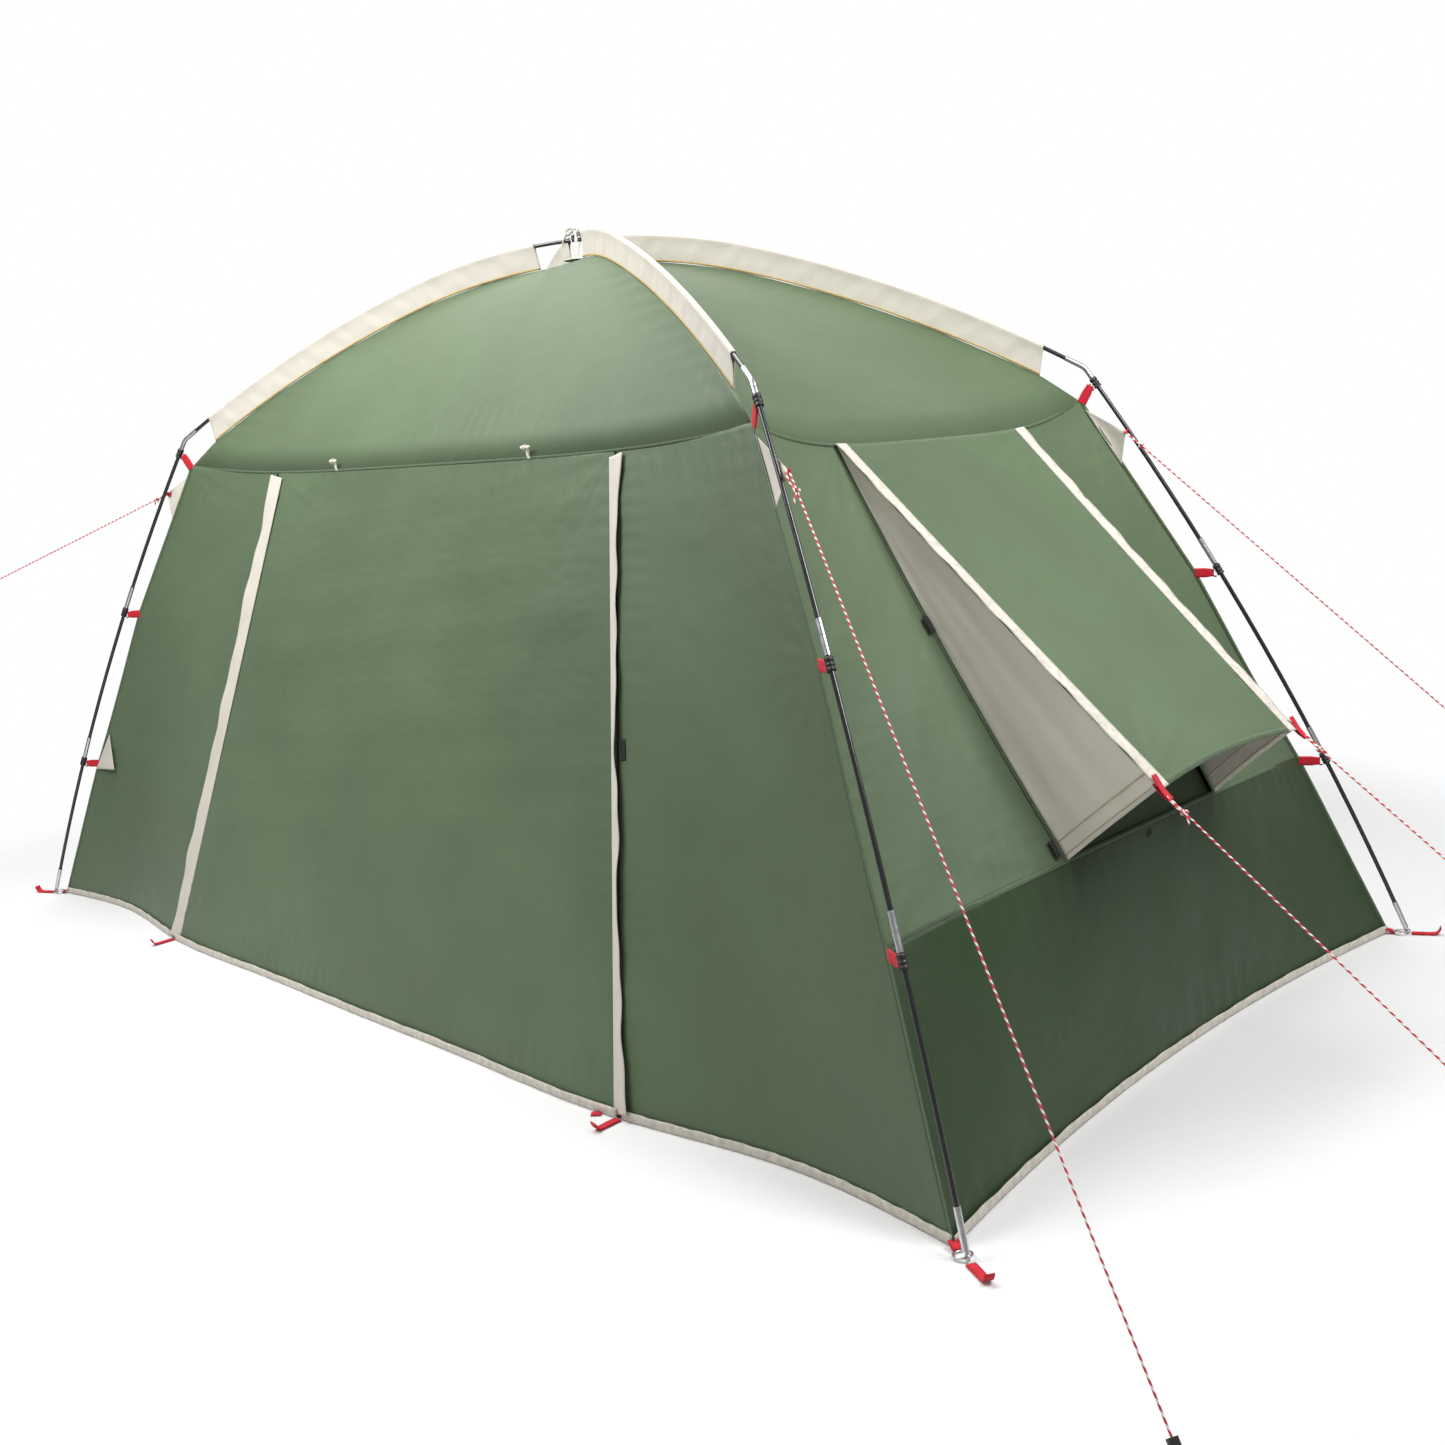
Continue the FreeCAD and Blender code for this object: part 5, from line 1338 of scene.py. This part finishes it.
def make_guy_triangles():
    for corner, (reach, height, aside) in GUY_TIPS.items():
        tip = np.array([reach, aside * TIP_ASIDE, height])
        low, high = GUY_CLOTH_SPAN
        up = np.linspace(low, high, 40)
        seam = np.stack([corner_reach(up) + 0.002, 0 * up, up], axis=1)
        step = np.linspace(0, 0.985, 26)[:, None, None]
        grid = seam[None] + (tip - seam)[None] * step
        inward = (4 * (up - low) * (high - up) / (high - low) ** 2)[None, :, None]
        grid[..., 1:2] += 0.004 * np.sin(step * 5) * inward
        cloth_part = cloth_sheet(f"guy_cloth_{corner}", placed(corner, grid), "cream_cloth",
                                 placed(corner, (0, 1, 0)), 0.0010)
        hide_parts("guy_triangles")
        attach(cloth_part, "tent")
        out = unit(tip - np.array([float(corner_reach(1.376)), 0, 1.376]))
        loop = [tip - out * 0.016 + [0, 0.0016, 0], tip - out * 0.004 + [0, 0.0018, 0], tip + out * 0.006,
                tip - out * 0.004 - [0, 0.0018, 0], tip - out * 0.016 - [0, 0.0016, 0]]
        ring = strap(f"guy_loop_{corner}", placed(corner, smooth_path(loop, 24)), (0, 0, 1), 0.012,
                     "red_webbing", 0.0012, 4)
        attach(ring, "tent")
    spots = [np.array(p) for p in ((-1.686, -0.864, 0.586), (-1.622, -0.893, 0.472), (-1.765, -0.895, 0.461))]
    step = np.linspace(0.02, 1, 18)[:, None, None]
    across = np.linspace(0, 1, 22)[None, :, None]
    grid = spots[0] + (spots[1] + (spots[2] - spots[1]) * across - spots[0]) * step
    grid[..., 1] -= 0.006
    patch = cloth_sheet("corner_triangle", grid, "cream_cloth", (0, -1, 0), 0.0010)
    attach(patch, "tent")


# ---------------------------------------------------------------- guy lines
GUY_RADIUS = 0.002
STAKE_HEIGHT = 0.025
LINE_GAP = 0.005
AWNING_LINE_GAP = 0.033
LINE_SAG = 0.0001
KNOT_SIZE = 0.0023
LOOP_DROP = 0.0024
STAYS_STRAIGHT = 0.29
FRONT_LEFT_END, FRONT_LEFT_SLOPE = 2.330, 0.341


def nurbs_points(points):
    """Points read from a smooth NURBS line with the given control points."""
    data = bpy.data.curves.new("route", "CURVE")
    data.dimensions = "3D"
    data.resolution_u = 40
    line = data.splines.new("NURBS")
    line.points.add(len(points) - 1)
    for control, point in zip(line.points, points):
        control.co = (*point, 1)
    line.order_u = 3
    line.use_endpoint_u = True
    holder = bpy.data.objects.new("route", data)
    bpy.context.collection.objects.link(holder)
    mesh = bpy.data.meshes.new_from_object(holder)
    places = [tuple(vertex.co) for vertex in mesh.vertices]
    bpy.data.objects.remove(holder)
    bpy.data.curves.remove(data)
    bpy.data.meshes.remove(mesh)
    return places


def knot(name, middle, heading):
    """An overhand knot pulled tight."""
    turn = np.linspace(0, TAU, 60, endpoint=False)
    flat = np.stack([np.sin(turn) + 2 * np.sin(2 * turn), np.cos(turn) - 2 * np.cos(2 * turn),
                     -1.6 * np.sin(3 * turn)], axis=1) * KNOT_SIZE
    ahead = Vector(heading).normalized()
    spin = ahead.to_track_quat("Z", "Y").to_matrix()
    path = np.array([tuple(spin @ Vector(p)) for p in flat]) + np.asarray(middle)
    return tube_mesh(name, path, GUY_RADIUS * 0.95, "guy_cord", 8, True)


def taut_line(name, start, end, gap):
    """A guy line from its loop to its stake, nearly straight."""
    start, end = np.asarray(start, float), np.asarray(end, float)
    heading = unit(end - start)
    first, last = start + heading * gap, end - heading * LINE_GAP
    middle = (first + last) / 2 - np.array([0, 0, 2 * LINE_SAG])
    path = nurbs_points([first, middle, last])
    line = tube_mesh(f"{name}_cord", path, GUY_RADIUS, "guy_cord", 10)
    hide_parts(name)
    return line, path, first, last, heading


def loop_back(name, near, heading, side, length=0.050):
    """The doubled end of a line: out through its loop and back to a knot."""
    near = np.asarray(near, float)
    side = unit(np.asarray(side, float))
    points = [near - heading * 0.006, near - heading * 0.010 + side * 0.003,
              near - heading * 0.004 + side * 0.006,
              near + heading * length * 0.5 + side * 0.007 - [0, 0, LOOP_DROP],
              near + heading * length + side * 0.004]
    path = smooth_path(points, 30)
    twist = tube_mesh(name, path, GUY_RADIUS * 0.95, "guy_cord", 8)
    bead = knot(name + "_knot", near + heading * length + side * 0.001, heading)
    tail_points = [near + heading * length, near + heading * (length + 0.012) + side * 0.008,
                   near + heading * (length + 0.020) + side * 0.013 - [0, 0, 0.010]]
    tail = tube_mesh(name + "_tail", smooth_path(tail_points, 14), GUY_RADIUS * 0.95, "guy_cord", 8)
    return merged(name, [twist, bead, tail])


def stake_knot(name, last, heading):
    """The loop round the stake's arm, with its knot."""
    side = unit(np.cross(heading, [0, 0, 1]))
    turn = np.linspace(0, TAU, 40, endpoint=False)
    middle = last + heading * 0.004
    ring = middle + np.cos(turn)[:, None] * heading * 0.006 + np.sin(turn)[:, None] * side * 0.0075
    loop = tube_mesh(name, ring, GUY_RADIUS * 0.9, "guy_cord", 8, True)
    bead = knot(name + "_bead", last - heading * 0.012, heading)
    return merged(name, [loop, bead])


def make_guy_lines():
    """Three lines from the top corners and two from the awning. Returns the awning lines, whose transforms
    are baked at the end.
    """
    blended = []
    for corner, reach in (("front_right", 2.880), ("back_right", 2.940)):
        start = guy_tip(corner)
        end = placed(corner, (reach, 0, STAKE_HEIGHT))
        line, path, first, last, heading = taut_line(f"guy_{corner}", start, end, LINE_GAP)
        side = np.cross(heading, [0, 0, 1])
        doubled = loop_back(f"guy_loop_cord_{corner}", first, heading, side)
        foot = stake_knot(f"guy_foot_{corner}", last, heading)
        for piece in (line, doubled, foot):
            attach(piece, "tent")
    for side, name in ((-1, "front"), (1, "rear")):
        start = AWNING_LOW + np.array([0, side * AWNING_LOW_HALF, 0])
        end = np.array([2.850, side * 0.330, STAKE_HEIGHT])
        line, path, first, last, heading = taut_line(f"awning_guy_{name}", start, end, AWNING_LINE_GAP)
        doubled = loop_back(f"awning_guy_loop_{name}", first, heading, np.array([0, side, 0.2]), 0.036)
        foot = stake_knot(f"awning_guy_foot_{name}", last, heading)
        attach(doubled, "awning")
        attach(foot, "tent")
        blended.append((line, last + (first - last) * STAYS_STRAIGHT, first))
        make_awning_tab(side, name, start, heading)
    start = guy_tip("front_left")
    reach, height, aside = GUY_TIPS["front_left"]
    drop = (FRONT_LEFT_END - reach) * FRONT_LEFT_SLOPE
    end = placed("front_left", (FRONT_LEFT_END, aside * TIP_ASIDE, height - drop))
    line, path, first, last, heading = taut_line("guy_front_left", start, end, LINE_GAP)
    doubled = loop_back("guy_loop_cord_front_left", first, heading, np.cross(heading, [0, 0, 1]), 0.044)
    foot = stake_knot("guy_end_front_left", last, heading)
    for piece in (line, doubled, foot):
        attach(piece, "tent")
    return blended


def make_awning_tab(side, name, start, heading):
    """The red webbing loop at the awning's low corner."""
    back = -AWNING_FALL
    out = AWNING_OUT
    line = [start + back * 0.030 + out * 0.0030, start + back * 0.012 + out * 0.0034,
            start + heading * 0.014 + out * 0.0014, start + heading * 0.031,
            start + heading * 0.014 - out * 0.0022, start + back * 0.014 - out * 0.0036]
    tab = strap(f"awning_red_tab_{name}", smooth_path(line, 44), (0, 1, 0), 0.019, "red_webbing", 0.0013, 5)
    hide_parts("awning_tabs")
    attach(tab, "awning")


# ---------------------------------------------------------------- finishes of the CAD parts that show
NODE_FINISHES = {
    "pole_black": ("arch_pole_low", "arch_pole_high", *(f"leg_{corner}" for corner in CORNERS)),
    "metal_silver": ("elbows", "pole_ferrules", "foot_tubes"),
    "elastic_white": ("shock_cords",),
    "wire_steel": ("foot_pins", "ground_rings", "guy_stakes"),
    "zip_metal": ("zip_slider_left", "zip_slider_right"),
    "runner_black": (
        "runner_front_right", "runner_back_right", "runner_awning_front", "runner_awning_rear",
    ),
}
FLOOR_HALF, FLOOR_LEVEL = 7.0, -0.0006
FADE_NEAR, FADE_FAR = 2.2, 3.3


def finish_cad_nodes():
    for finish, names in NODE_FINISHES.items():
        for name in names:
            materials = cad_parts[name].data.materials
            materials.clear()
            materials.append(MATERIALS[finish])


def fade_floor():
    """The floor's finish thins out to the white surround, well clear of the tent."""
    tree = MATERIALS["floor"].node_tree
    shader = tree.nodes["Principled BSDF"]
    place = add(tree, "TexCoord").outputs["Object"]
    away = add(tree, "VectorMath", place, operation="LENGTH").outputs["Value"]
    thin = add(tree, "MapRange")
    thin.interpolation_type = "SMOOTHSTEP"
    tree.links.new(away, thin.inputs["Value"])
    thin.inputs["From Min"].default_value = FADE_NEAR
    thin.inputs["From Max"].default_value = FADE_FAR
    clear = add(tree, "BsdfTransparent")
    mixed = add(tree, "MixShader")
    tree.links.new(thin.outputs["Result"], mixed.inputs[0])
    tree.links.new(shader.outputs[0], mixed.inputs[1])
    tree.links.new(clear.outputs[0], mixed.inputs[2])
    tree.links.new(mixed.outputs[0], tree.nodes["Material Output"].inputs["Surface"])


def make_floor():
    fade_floor()
    mesh = bpy.data.meshes.new("floor")
    corners = [(x * FLOOR_HALF, y * FLOOR_HALF, FLOOR_LEVEL) for x, y in ((-1, -1), (1, -1), (1, 1), (-1, 1))]
    mesh.from_pydata(corners, [], [(0, 1, 2, 3)])
    mesh.materials.append(MATERIALS["floor"])
    floor = bpy.data.objects.new("floor", mesh)
    bpy.context.collection.objects.link(floor)


place_camera()
light_the_studio()
MATERIALS = make_materials()
make_floor()
lines_to_blend = make_guy_lines()
make_roof()
make_front()
make_end_walls()
make_corner_seams()
make_hems()
make_toggles()
make_sleeves()
make_crossing()
make_window_trim()
make_clips()
make_ground_loops()
make_hook_tabs()
make_guy_triangles()
finish_cad_nodes()
door_cloth = make_door()
zip_strips = make_zips()
awning_pieces = make_awning()

# fabric that crosses a joint, and the awning's lines: transforms baked last
for piece in [door_cloth, *zip_strips]:
    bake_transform(piece)
for piece in awning_pieces:
    if piece.name.startswith("gusset"):
        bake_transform(piece)
    else:
        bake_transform(piece)
for line, low_end, tab_end in lines_to_blend:
    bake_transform(line)
